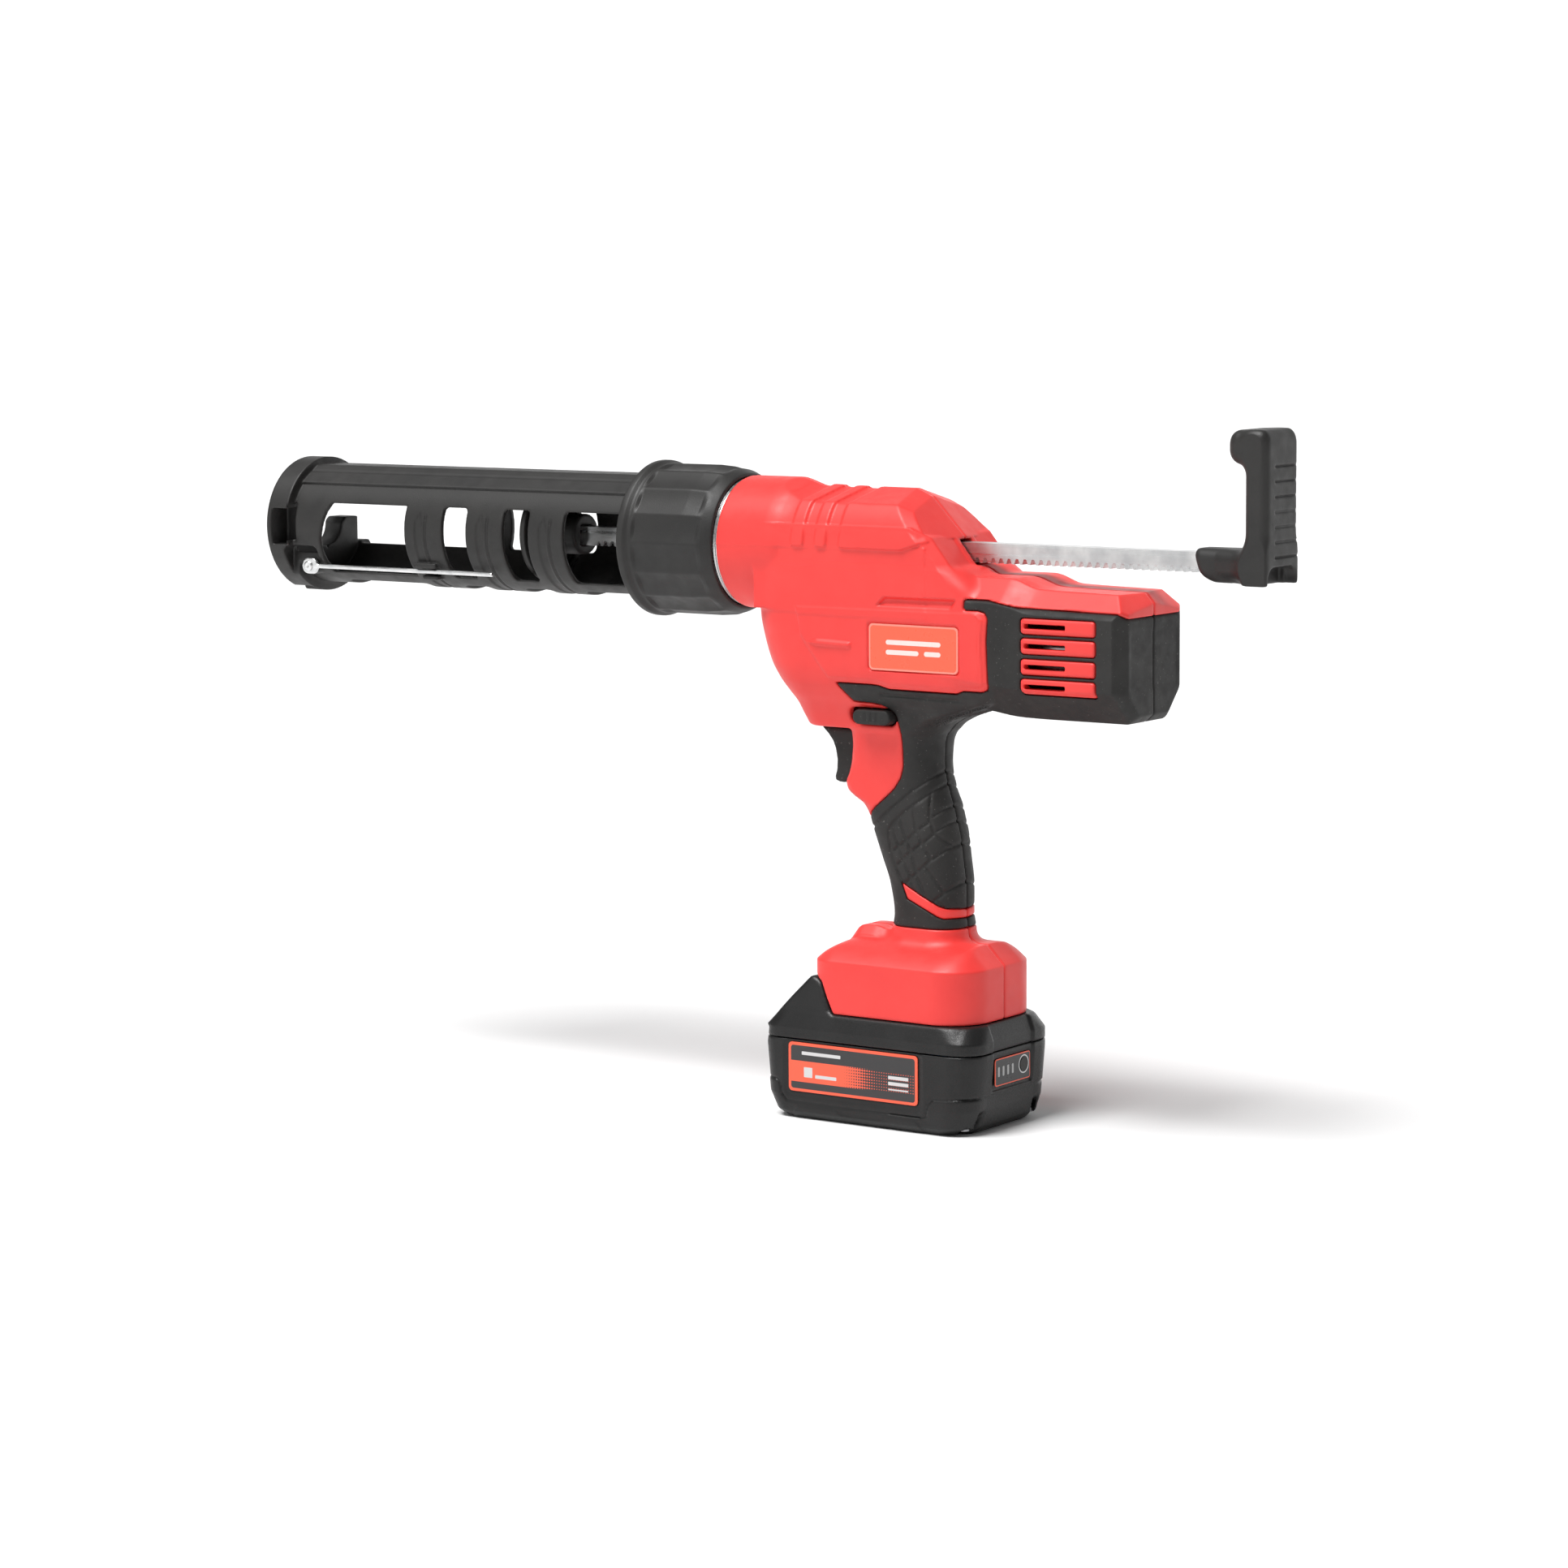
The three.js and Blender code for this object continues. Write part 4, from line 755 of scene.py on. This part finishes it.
def holder():
    """The open cartridge holder: ribs, windows, front plate with its slot, and the needle's catches."""
    g = Grid((-367.5, -35.5, 233), (-116.5, 35.5, 304), 0.66)
    x, y, z = g.x, g.y, g.z
    r = hypot(y, z - AXIS_Z)
    facet = 0.56 * (abs(y) - 9) + 0.829 * (z - 299.1)
    rail = smax(smax(smax(z - 299.1, facet, 0.8), 290.2 - z, 0.3), abs(y) - 21.4, 0.5)
    rail = rail + groove(abs(abs(y) - 13.4), 0.5, 0.3)
    tube = maximum(r - 29.5, -4 - r)
    rib_cut = np.zeros_like(x * z)
    window = np.full((len(x), 1, g.counts[2]), 9, float32)
    far_window = window.copy()
    edges = [-330] + [e for rib in RIBS for e in rib] + [-143]
    bays = list(zip(edges[::2], edges[1::2]))
    for i, (x0, x1) in enumerate(bays):
        if i == 0:
            near = outline(x, z, FIRST_WINDOW)
            far = plan(x, z - 268.4, -353.2, x1, 11.4, 1.5, 2.4)
        else:
            near = plan(x, z - 263.5, x0, x1, 17.5, 2.2, 2.2)
            far = plan(x, z - 268.4, x0, x1, 11.4, 2.4, 2.4)
        window = minimum(window, near)
        far_window = minimum(far_window, far)
    for x0, x1 in RIBS:
        spear = [(x0 + dx, dz) for dx, dz in
                 ((6.6, 230), (6.6, 273.4), (9.2, 278.6), (11.8, 273.4), (11.8, 230))]
        rib_cut = maximum(rib_cut, raised(outline(x, z, spear), 0.6, 0.6))
        rib_cut = maximum(rib_cut, groove(abs(x - x0 - 13.4) + 9 * (z > 277), 0.8, 0.8))
    outer = smin(tube + rib_cut * (abs(z - 258) < 22), rail + 9 * (x > -143.5) + 9 * (x < -352), 0.3)
    collar = along(g, [-366, -364.8, -352.2, -351.6], [32.8, 34, 34, 28])
    outer = minimum(outer, smax(r - collar, x + 351.4, 0.5))
    bore = smax(r - 26.8, -354 - x, 0.4)
    hole = r - along(g, [-366, -362, -354], [12, 11, 11])
    slot = [(0, 256), (6, 263.8), (14.5, 271), (24, 271), (24, 258.5), (40, 258.5), (40, 278),
            (25, 279.5), (14, 283.5), (0, 284)]
    slot = top(outline(y, z, slot), x + 353)
    under = np.full_like(x, 9)
    for x0, x1 in bays:
        under = minimum(under, abs(x - (x0 + x1) / 2) - (x1 - x0) / 2)
    under = smax(smax(under, abs(y) - 11, 3), z - 252, 0.1)
    near_cut = top(window, y + 4)
    far_cut = top(far_window, 4 - y)
    shell = smax(outer, -366 - x, 0.8)
    shell = smax(shell, x + 118, 0.8)
    shell = carve(shell, (bore, 0.4), (hole, 0.8), (slot, 0.6), (under, 0.8),
                  (near_cut, 0.7), (far_cut, 0.7))
    notch = minimum(plan(z, x + 357.6, 259.6, 277.8, 4.8, 1, 1),
                       plan(z, x + 351.6, 262, 280.2, 1.4, 0.6, 0.6))
    notch = smax(notch, y + 21, 0.6)
    foot_notch = smax(plan(y, x + 360, -13, -5, 6.6, 1.6, 1.6), z - 238.6, 0.4)
    pad = top(plan(x, z - 248.5, -356, -338, 10.5, 3, 3), y - PIVOT[1] - 1.3)
    boss = smax(smax(hypot(x - PIVOT[0], z - PIVOT[2]) - 4.4, PIVOT[1] + 1.35 - y, 0.6), y + 18, 0.4)
    boss = maximum(boss, 26.8 - r)
    shell = carve(shell, (notch, 0.5), (foot_notch, 0.6), (pad, 0.5))
    catch = top(plan(x, y + 23.6, -274, -261, 3.6, 1, 1), abs(z - 251.6) - 1.2)
    rest = top(plan(x, y + 20.6, -272.5, -262.5, 3.0, 1, 1), abs(z - 245.6) - 1.2)
    shell = smin(shell, minimum(boss, minimum(catch, rest)), 0.4)
    moulding("cartridge_frame", shell, g, black_nylon, "cartridge_holder", "cartridge_holder")


def needle():
    """The puncture needle, folded back along the holder, and its rivet."""
    px, py, pz = PIVOT
    g = Grid((px - 6, py - 2.6, pz - 5.5), (-224.5, py + 2.2, pz + 5.5), 0.42)
    x, y, z = g.x - px, g.y - py, g.z - pz
    eye = plan(x, z, -4.6, 5, 4.0, 4.0, 3.0)
    head = smax(eye, abs(y + 0.1) - 1.1, 0.7)
    head = smax(head, -(hypot(x, z) - 1.7), 0.3)
    wire = smax(hypot(y + 0.1, z) - 1.08, abs(x - 60) - 58, 0.5)
    moulding("puncture_needle", smin(head, wire, 1.2), g, bright_zinc, "seal_needle", "seal_needle")
    profile = [(0.05, -2.4), (1.7, -2.4), (2.5, -2.0), (2.6, -1.5), (1.4, -1.3), (1.4, 1.2), (0.05, 1.2)]
    points, quads = [], []
    steps = 28
    for i in range(steps):
        a = 2 * math.pi * i / steps
        points += [(px + r * math.cos(a), py + h, pz + r * math.sin(a)) for r, h in profile]
    n = len(profile)
    for i in range(steps):
        for j in range(n):
            a, b = i * n, (i + 1) % steps * n
            quads.append((a + j, a + (j + 1) % n, b + (j + 1) % n, b + j))
    piece("rivet", points, quads, bright_zinc, "cartridge_holder", "needle_rivet")


# ---------- rack, piston, pull handle ----------
def piston():
    """A disc with a thick hub and four webs behind it."""
    g = Grid((-213, -25, 243.4), (-186, 25, 293.6), 0.7)
    x, y, z = g.x, g.y, g.z
    r = hypot(y, z - AXIS_Z)
    rim = along(g, [-212, -210, -207, -206.4], [21, 24, 24, 22])
    plate = smax(smax(r - rim, abs(x + 209.5) - 2.5, 0.5), -smax(r - 20.4, -209.4 - x, 0.6), 0.5)
    hub = smax(r - 10, abs(x + 199.6) - 12.4, 0.8)
    webs = top(minimum(abs(y), abs(z - AXIS_Z)) - 0.9, r + (x + 209) * 1.3 - 22, -209.6 - x)
    form = smin(smin(plate, hub, 0.8), webs, 0.6)
    way = top(abs(y) - 4.3, abs(z - RACK_Z) - 4.9, -205.4 - x)
    pin = hypot(x + 196, z - 268.4) - 1.5
    moulding("piston_disc", maximum(form, -minimum(way, pin)), g, black_nylon, "rack", "piston")


def pull_handle():
    """Upright grip with a hooked top, and the arm that holds the rack's end."""
    g = Grid((157, -15.6, 257), (200, 15.6, 328.6), 0.6)
    x, y, z = g.x, g.y, g.z
    grip = smax(plan(x, y, 187.4, 199.4, 15, 4.0, 4.2), z - 327.9, 7)
    grip = smax(grip, 259 - z, 3)
    hook = smax(plan(x, y, 178.4, 196, 15, 6, 4), z - 327.9, 7)
    hook = smax(hook, 313.6 - z - (x - 178) * 0.22, 6)
    half = along(g, [158, 170, 182, 192], [8, 9, 12.4, 14.8])
    arm = plan(z, y / half * 10, 260.2, 274.6, 10, 6, 6)
    arm = smax(smax(arm, 156.8 + maximum(275 - z, 0) * 0.36 - x, 4), x - 195, 3)
    arm = smax(arm, (163.4 - x) * 0.62 + (261 - z) * 0.78 - 0.5, 2)
    keel = smax(plan(x, y, 166, 188, 7.4, 5, 6), abs(z - 264.6) - 5.0, 3)
    form = smin(smin(smin(grip, hook, 4), arm, 9), keel, 2)
    form = smax(smax(form, x - 199.4, 0.5), z - 327.95, 0.5)
    form = smax(form, 259.1 - z, 0.5)
    form = maximum(form, abs(y) - 15.1)
    for i in range(7):
        slit = smax(hypot((x - 199.4) * 0.6, z - 271.5 - 6.7 * i) - 0.62, -7 - y, 0.5)
        form = smax(form, -slit, 0.3)
    mouth = smax(smax(plan(y, x - 204, -11.6, 11.6, 13, 1, 1), z - 266.6, 2), x - 197, 0.1)
    behind = smax(plan(y, z - 259, -13, 13, 8.4, 6, 6), 194 - x, 0.4)
    under = smax(plan(x, y, 177, 186.6, 5.6, 2, 2), z - 262.2, 0.4)
    way = top(abs(y) - 4.3, abs(z - RACK_Z) - 4.9, x - 186.3)
    form = carve(form, (mouth, 0.4), (behind, 0.6), (under, 0.4), (way, 0.3))
    moulding("pull_grip", form, g, black_nylon, "rack", "pull_handle")


# ---------- controls ----------
def controls():
    """The trigger, and the direction lever with its tab on each side."""
    g = Grid((-47, -9, 156), (-16, 9, 184.4), 0.5)
    blade = [(-17, 183.4), (-43, 183.4), (-41.8, 182.2), (-39, 179.6), (-36.6, 176.6), (-35.1, 173),
             (-34.2, 168), (-34.4, 163.4), (-35.4, 159.8), (-35, 158), (-33.2, 157.3), (-30.4, 157.1),
             (-27.2, 158.6), (-17, 159.8)]
    form = smax(outline(g.x, g.z, blade), abs(g.y) - 8.4, 2.6)
    moulding("trigger_blade", form, g, soft_black, "trigger", "trigger")
    g = Grid((-15, -25.6, 186.6), (13.4, 25.6, 195.8), 0.5)
    height = abs(g.z - LEVER_Z)
    side = plan(g.x, g.z - LEVER_Z, -13.6, 7, 3.5, 3.4, 3.4)
    tab = smax(side, abs(abs(g.y) - 20.8) - 4.1, 1.2)
    for offset in (-3.2, 0, 3.2):
        ridge = groove(abs(g.x + 3.3 - offset) + 9 * (height > 2.1), 0.7, 0.5)
        tab = tab + ridge * (abs(g.y) > 23.5)
    bar = top(abs(g.x + 3.3) - 7.3, height - 2.3, abs(g.y) - 18)
    shutter = top(abs(g.x + 0.6) - 12.8, height - 3.6, abs(abs(g.y) - 7) - 1.2)
    form = minimum(tab, minimum(bar, shutter))
    moulding("direction_slide", form, g, soft_black, "direction_lever", "direction_lever")


# ---------- battery ----------
BATTERY_TABLE = [(0, -50, 51, 33, 10, 14), (3.5, -53.5, 55, 35.6, 9, 14), (12, -56.2, 57.2, 37, 8, 14),
                 (35, -58.2, 59.2, 37.1, 8, 14), (43.6, -57, 59.2, 37.1, 8, 14),
                 (51, -50, 56.5, 34.2, 8, 18)]
TRAY_LINE = [(-62, 18.6), (-49.6, 18.4), (-47.6, 16.8), (-46.4, 11), (-43.6, 8.2), (31, 7.8), (34.2, 9),
             (36.2, 15.4), (38.6, 17.4), (64, 18.4)]
HUMP = [(-57.4, 43), (-36, 66.2), (-34.6, 67.6), (-32.6, 67.9), (-30.4, 67.2), (-27.6, 65.2),
        (-20.6, 51.6), (-20.6, 43)]
TUCK = 1.6  # rounding where the case meets the floor and the lid the foot


def battery_form(g):
    """Outside of case and lid together, with the relief of the sides and the rear."""
    x, y, z = g.x, abs(g.y), g.z
    rows = [interp(z[0, 0], [r[0] for r in BATTERY_TABLE], [r[i] for r in BATTERY_TABLE])
            .astype(float32)[None, None, :] for i in range(1, 6)]
    form = plan(x, y, *rows)
    lower = outline(x, z, TRAY_LINE + [(64, -9), (-62, -9)])
    seam = path(x, z, TRAY_LINE)
    relief = raised(lower, 0.35, 0.3) - groove(seam, 0.55, 0.7)
    label = plan(x, z - 24.4, -45.6, 33.2, 14.6, 4.2, 4.2)
    relief = relief - raised(label, 0.6, 1.7)
    strip = [(-42, 0), (-40.4, 3.6), (-38, 6.4), (-16, 6.2), (-12.6, 4.2), (9, 4.2), (12, 6.2), (28, 6.2),
             (31, 4), (32, 0)]
    relief = relief + raised(outline(x, z, strip), 0.45, 0.4)
    form = form - relief * clip((y - 20) / 8, 0, 1)
    back = clip((x - 50) / 3, 0, 1)
    sunk = raised(plan(y, z - 35.4, -17.6, 17.6, 16, 1.5, 1.5), 1.0, 0.8)
    form = form + (sunk - 0.5) * back * (z > 17.5)
    form = form + groove(abs(z - 17.8), 0.5, 0.6) * back
    return form


def battery():
    """Battery case, its lid with the slide-on tongue, and the release button."""
    step = 0.68
    g = Grid((-60, -38.4, -1), (61, 38.4, 39.5), step)
    x, y, z = g.x, g.y, g.z
    form = smax(battery_form(g), -z, TUCK)
    slit = smax(smax(abs(abs(y) - 23.5 + (x - 56) * 0.35) - 2.2, 46 - x, 0.4),
                (z - 10.5) * 0.8 + (56 - x) * 0.6, 0.8)
    form = smax(form, -slit, 0.8)
    shell = smax(smax(form, -(form + 2.4), 0.1), z - 37.95, 0.5)
    pockets = top(plan(x, z - 25, -43, 30.5, 12.1, 2.4, 2.4), 36.1 - abs(y))
    gauge = top(plan(y, z - 28.2, -15.6, 15.6, 6.8, 1.6, 1.6), 58.2 - x)
    button = top(hypot(y - 9.6, z - 29) - 3.7, 50 - x)
    shell = carve(shell, (pockets, 0.3), (gauge, 0.3), (button, 0.1))
    for sx in (-50.3, 50):
        ways = hypot(x - sx, abs(y) - (29 if sx < 0 else 28))
        post = top(ways - 3.7, form + 0.6, z - 30)
        shell = minimum(shell, post)
        shell = smax(shell, -top(ways - 2.9, z - 4.8), 0.2)
        shell = maximum(shell, -top(ways - 1.7, z - 20))
    moulding("battery_tray", shell, g, battery_black, "battery", "battery_case")

    g = Grid((-60, -38.4, 37.4), (61, 38.4, 69), step)
    x, y, z = g.x, g.y, g.z
    lid = smax(battery_form(g), z - 51, TUCK)
    hump = smax(outline(x, z, HUMP), 0.963 * (abs(y) - 36.6) + 0.27 * (z - 46), 2.2)
    hump = smax(hump, abs(y) - 34.6, 3)
    body = smin(lid, hump, 2.0)
    tongue = minimum(top(abs(x - 12.3) - 36.3, abs(y) - 20, abs(z - 53.5) - 3.5),
                        top(abs(x - 12.3) - 36.3, abs(y) - 24, abs(z - 58) - 2))
    foot_bed = top(plan(x, y, -19.9, 54.9, 33.9, 12, 20), 51.1 - z)
    body = smax(body, -foot_bed, 0.4)
    body = minimum(body, smax(tongue, z - 60, 0.4))
    hollow = top(body + 2.6, z - 49)
    body = smax(smax(body, -hollow, 0.2), 38.3 - z, 0.5)
    for blade in (-9, -3, 3, 9):
        body = maximum(body, -top(abs(x - 30.5) - 21.5, abs(y - blade) - 1.2, 52.6 - z))
    well = outline(x, z, [(-56, 49.8), (-56, 62), (-35.5, 74), (-35.5, 58.6), (-42.4, 50)])
    well = top(well, abs(y) - 12.6)
    body = smax(body, -well, 0.6)
    moulding("battery_cover", body, g, battery_black, "battery", "battery_lid")

    g = Grid((-52.4, -13, 51.8), (-36.6, 13, 68), 0.5)
    key = [(-50.9, 52.7), (-51.2, 53.8), (-38.2, 67.2), (-37.4, 66.6), (-37.4, 61.2), (-44.6, 52.7)]
    form = smax(outline(g.x, g.z, key), abs(g.y) - 11.9, 1.2)
    for i in range(4):
        line = abs((g.x + 44.6) * 0.7 + (g.z - 60.6) * 0.72 - 2.2 * i + 3.3)
        form = form + groove(line + 9 * (abs(g.y) > 9), 0.6, 0.5)
    moulding("battery_key", form, g, red_plastic, "release_button", "release_button")


# ---------- printed panels ----------
def card(m, u_axis, u, v, half_u, half_v, r):
    """Distance in millimetres to a rounded rectangle drawn on a side face, as a node socket."""
    split = m.new("SeparateXYZ")
    m.link(m.place, split.inputs[0])
    sides = (split.outputs[u_axis], u, half_u), (split.outputs[2], v, half_v)
    qu, qv = (m.maths("ADD", m.maths("ABSOLUTE", m.maths("MULTIPLY_ADD", at, 1000, -middle)), r - half)
              for at, middle, half in sides)
    pu, pv = m.maths("MAXIMUM", qu, 0.0), m.maths("MAXIMUM", qv, 0.0)
    far = m.maths("SQRT", m.maths("ADD", m.maths("MULTIPLY", pu, pu), m.maths("MULTIPLY", pv, pv)))
    near = m.maths("MINIMUM", m.maths("MAXIMUM", qu, qv), 0.0)
    return m.maths("SUBTRACT", m.maths("ADD", far, near), r)


def inside(m, distance):
    """1 inside a drawn outline and 0 outside, with a soft edge."""
    return m.span(distance, 0.06, -0.06)


def printed(m, field, rough, grain=800):
    """Finishes a printed panel: its drawing, a slightly uneven gloss and a fine grain."""
    m.color(field)
    m.sheen(300, 3, rough, rough + 0.1)
    m.bump(m.noise(grain, 2), 0.01)
    return m.material


ORANGE = (0.9, 0.115, 0.055)


def badge_material():
    """Three plain bars on orange, inside a paler edge."""
    m = Nodes("badge_print", ORANGE, 0.3)
    field = m.blend(inside(m, card(m, 0, 24.5, 225, 23.6, 9.9, 1.8)), (0.93, 0.26, 0.2), ORANGE)
    for u, v, half in ((24.5, 227.4, 15), (18.5, 222.8, 9), (35, 222.8, 4.5)):
        field = m.blend(inside(m, card(m, 0, u, v, half, 1.1, 1.1)), field, (0.82, 0.68, 0.64))
    return printed(m, field, 0.26, 700)


def label_material():
    """A dark card with an orange edge, a band that fades in through dots, and plain white bars."""
    m = Nodes("label_print", (0.03, 0.03, 0.03), 0.38)
    split = m.new("SeparateXYZ")
    m.link(m.place, split.inputs[0])
    mid = (LABEL[0] + LABEL[1]) / 2
    dark = (0.032, 0.031, 0.032)
    field = m.blend(inside(m, card(m, 0, mid, 25, 34.9, 10.3, 1.4)), ORANGE, dark)
    x = m.maths("MULTIPLY", split.outputs[0], 1000)
    z = m.maths("MULTIPLY", split.outputs[2], 1000)
    pitch = 1.35
    wave = m.maths("MULTIPLY", m.maths("SINE", m.maths("MULTIPLY", m.maths("ADD", x, z), math.pi / pitch)),
                   m.maths("SINE", m.maths("MULTIPLY", m.maths("SUBTRACT", x, z), math.pi / pitch)))
    fade = m.span(x, -12, 7, -1.05, 0.75)
    dots = m.span(m.maths("SUBTRACT", wave, fade), -0.06, 0.06)
    band = m.maths("MULTIPLY", dots, m.span(m.maths("ABSOLUTE", m.maths("SUBTRACT", z, 23.0)), 5.06, 4.94))
    band = m.maths("MULTIPLY", band, m.span(m.maths("ABSOLUTE", m.maths("SUBTRACT", x, mid)), 34.95, 34.85))
    field = m.blend(band, field, ORANGE)
    white = (0.62, 0.62, 0.62)
    for u, v, hu, hv in ((-24, 31.8, 11, 0.8), (-31.4, 22.8, 2.4, 2.4), (-21.4, 21.2, 6, 0.8),
                         (19.4, 25.2, 5.6, 0.8), (19.4, 22.4, 5.6, 0.8), (19.4, 19.6, 5.6, 0.35)):
        field = m.blend(inside(m, card(m, 0, u, v, hu, hv, 0.3)), field, white)
    return printed(m, field, 0.33)


def gauge_material():
    """Four charge marks and a plain ring round the button."""
    m = Nodes("gauge_print", (0.03, 0.03, 0.03), 0.3)
    field = m.blend(inside(m, card(m, 1, 0, 28.2, 14.7, 5.9, 0.9)), ORANGE, (0.035, 0.035, 0.036))
    for i in range(4):
        mark = card(m, 1, -12 + 4.0 * i, 28.4, 0.75, 2.3, 0.5)
        field = m.blend(inside(m, mark), field, (0.42, 0.42, 0.42))
    ring = m.maths("ABSOLUTE", m.maths("ADD", card(m, 1, 9.6, 29, 4.3, 4.3, 4.3), 0.2))
    field = m.blend(m.span(ring, 0.34, 0.22), field, (0.7, 0.7, 0.7))
    return printed(m, field, 0.26)


def panels():
    """Badge and label on both sides, and the charge gauge at the rear."""
    badge, label = badge_material(), label_material()
    for side, sign in (("left", -1), ("right", 1)):
        tablet("badge_plate_" + side, "y", BADGE, (sign * 30.2, sign * 30.9), 2.2, 0.25,
               badge, "tool", "side_badge_" + side)
        tablet("label_plate_" + side, "y", LABEL, (sign * 36.4, sign * 36.85), 2.0, 0.15,
               label, "battery", "battery_label_" + side)
    tablet("gauge_plate", "x", (-15.2, 15.2, 21.8, 34.6), (58.5, 58.9), 1.4, 0.15, gauge_material(),
           "battery", "gauge_panel")


# ---------- CAD nodes ----------
def carried_over():
    """Bevels the rack and its pins, and gives every CAD node its finish."""
    for node in ("rack", "handle_pin", "piston_pin"):
        bevelled(node, zinc_plate, "rack", 0.18)
    finish = {"zinc_steel": zinc_plate, "gear_steel": gear_steel, "black_plastic": black_nylon,
              "circuit_board": board_green, "cell_wrap": cell_blue, "soft_grip": soft_black,
              "red_shell": red_plastic, "battery_plastic": battery_black, "badge": black_nylon}
    for node, ob in frame["nodes"].items():
        if not ob.material_slots:
            ob.data.materials.append(None)
        for slot in ob.material_slots:
            slot.material = finish[SLOTS[node]]


housing()
lock_ring()
holder()
needle()
piston()
pull_handle()
controls()
battery()
panels()
carried_over()


# ---------- stage ----------
def stage():
    """Pale floor, a bright wall behind the tool, and soft light from above and the left."""
    bpy.ops.mesh.primitive_plane_add(size=60)
    floor = bpy.context.object
    floor.name = "floor"
    m = Nodes("floor_white", (0.84, 0.84, 0.84), 0.9)
    m.mottle(2, 2, (0.83, 0.83, 0.83), (0.85, 0.85, 0.85), edge=0.3)
    floor.data.materials.append(m.material)
    world = bpy.data.worlds.new("studio")
    bpy.context.scene.world = world
    world.use_nodes = True
    tree = world.node_tree
    place = tree.nodes.new("ShaderNodeTexCoord")
    toward = tree.nodes.new("ShaderNodeVectorMath")
    toward.operation = "DOT_PRODUCT"
    toward.inputs[1].default_value = (-0.1, 0.86, -0.5)
    tree.links.new(place.outputs["Generated"], toward.inputs[0])
    wash = tree.nodes.new("ShaderNodeMapRange")
    for key, value in (("From Min", 0.2), ("From Max", 0.8), ("To Min", 0.22), ("To Max", 1.7)):
        wash.inputs[key].default_value = value
    tree.links.new(toward.outputs["Value"], wash.inputs["Value"])
    tree.links.new(wash.outputs["Result"], tree.nodes["Background"].inputs["Strength"])
    tree.nodes["Background"].inputs["Color"].default_value = (1, 1, 1, 1)
    for name, place, angle, power in (("key", (-0.15, -0.42, 1.0), 30, 3.8),
                                      ("fill", (-0.45, -0.9, 0.1), 60, 0.55)):
        data = bpy.data.lights.new(name, "SUN")
        data.angle = math.radians(angle)
        data.energy = power
        lamp = bpy.data.objects.new(name, data)
        bpy.context.scene.collection.objects.link(lamp)
        lamp.location = place
        lamp.rotation_euler = (-Vector(place)).to_track_quat("-Z", "Y").to_euler()


def camera():
    """The photograph's viewing angle; the aim is in millimetres and the distance in metres."""
    az, el, roll = (math.radians(a) for a in (35.1, 7.14, -0.4))
    aim, distance = Vector((-70, 0, 153)) * MM, 2.1469
    back = Vector((math.sin(az) * math.cos(el), -math.cos(az) * math.cos(el), math.sin(el)))
    right = Vector((math.cos(az), math.sin(az), 0))
    up = back.cross(right)
    r = math.cos(roll) * right + math.sin(roll) * up
    u = -math.sin(roll) * right + math.cos(roll) * up
    data = bpy.data.cameras.new("camera")
    data.sensor_width = 36
    data.lens = 103.13
    ob = bpy.data.objects.new("camera", data)
    bpy.context.scene.collection.objects.link(ob)
    ob.matrix_world = Matrix((
        (r.x, u.x, back.x, 0), (r.y, u.y, back.y, 0), (r.z, u.z, back.z, 0), (0, 0, 0, 1)))
    ob.location = aim + back * distance
    bpy.context.scene.camera = ob
    bpy.context.scene.view_settings.view_transform = "Standard"


stage()
camera()
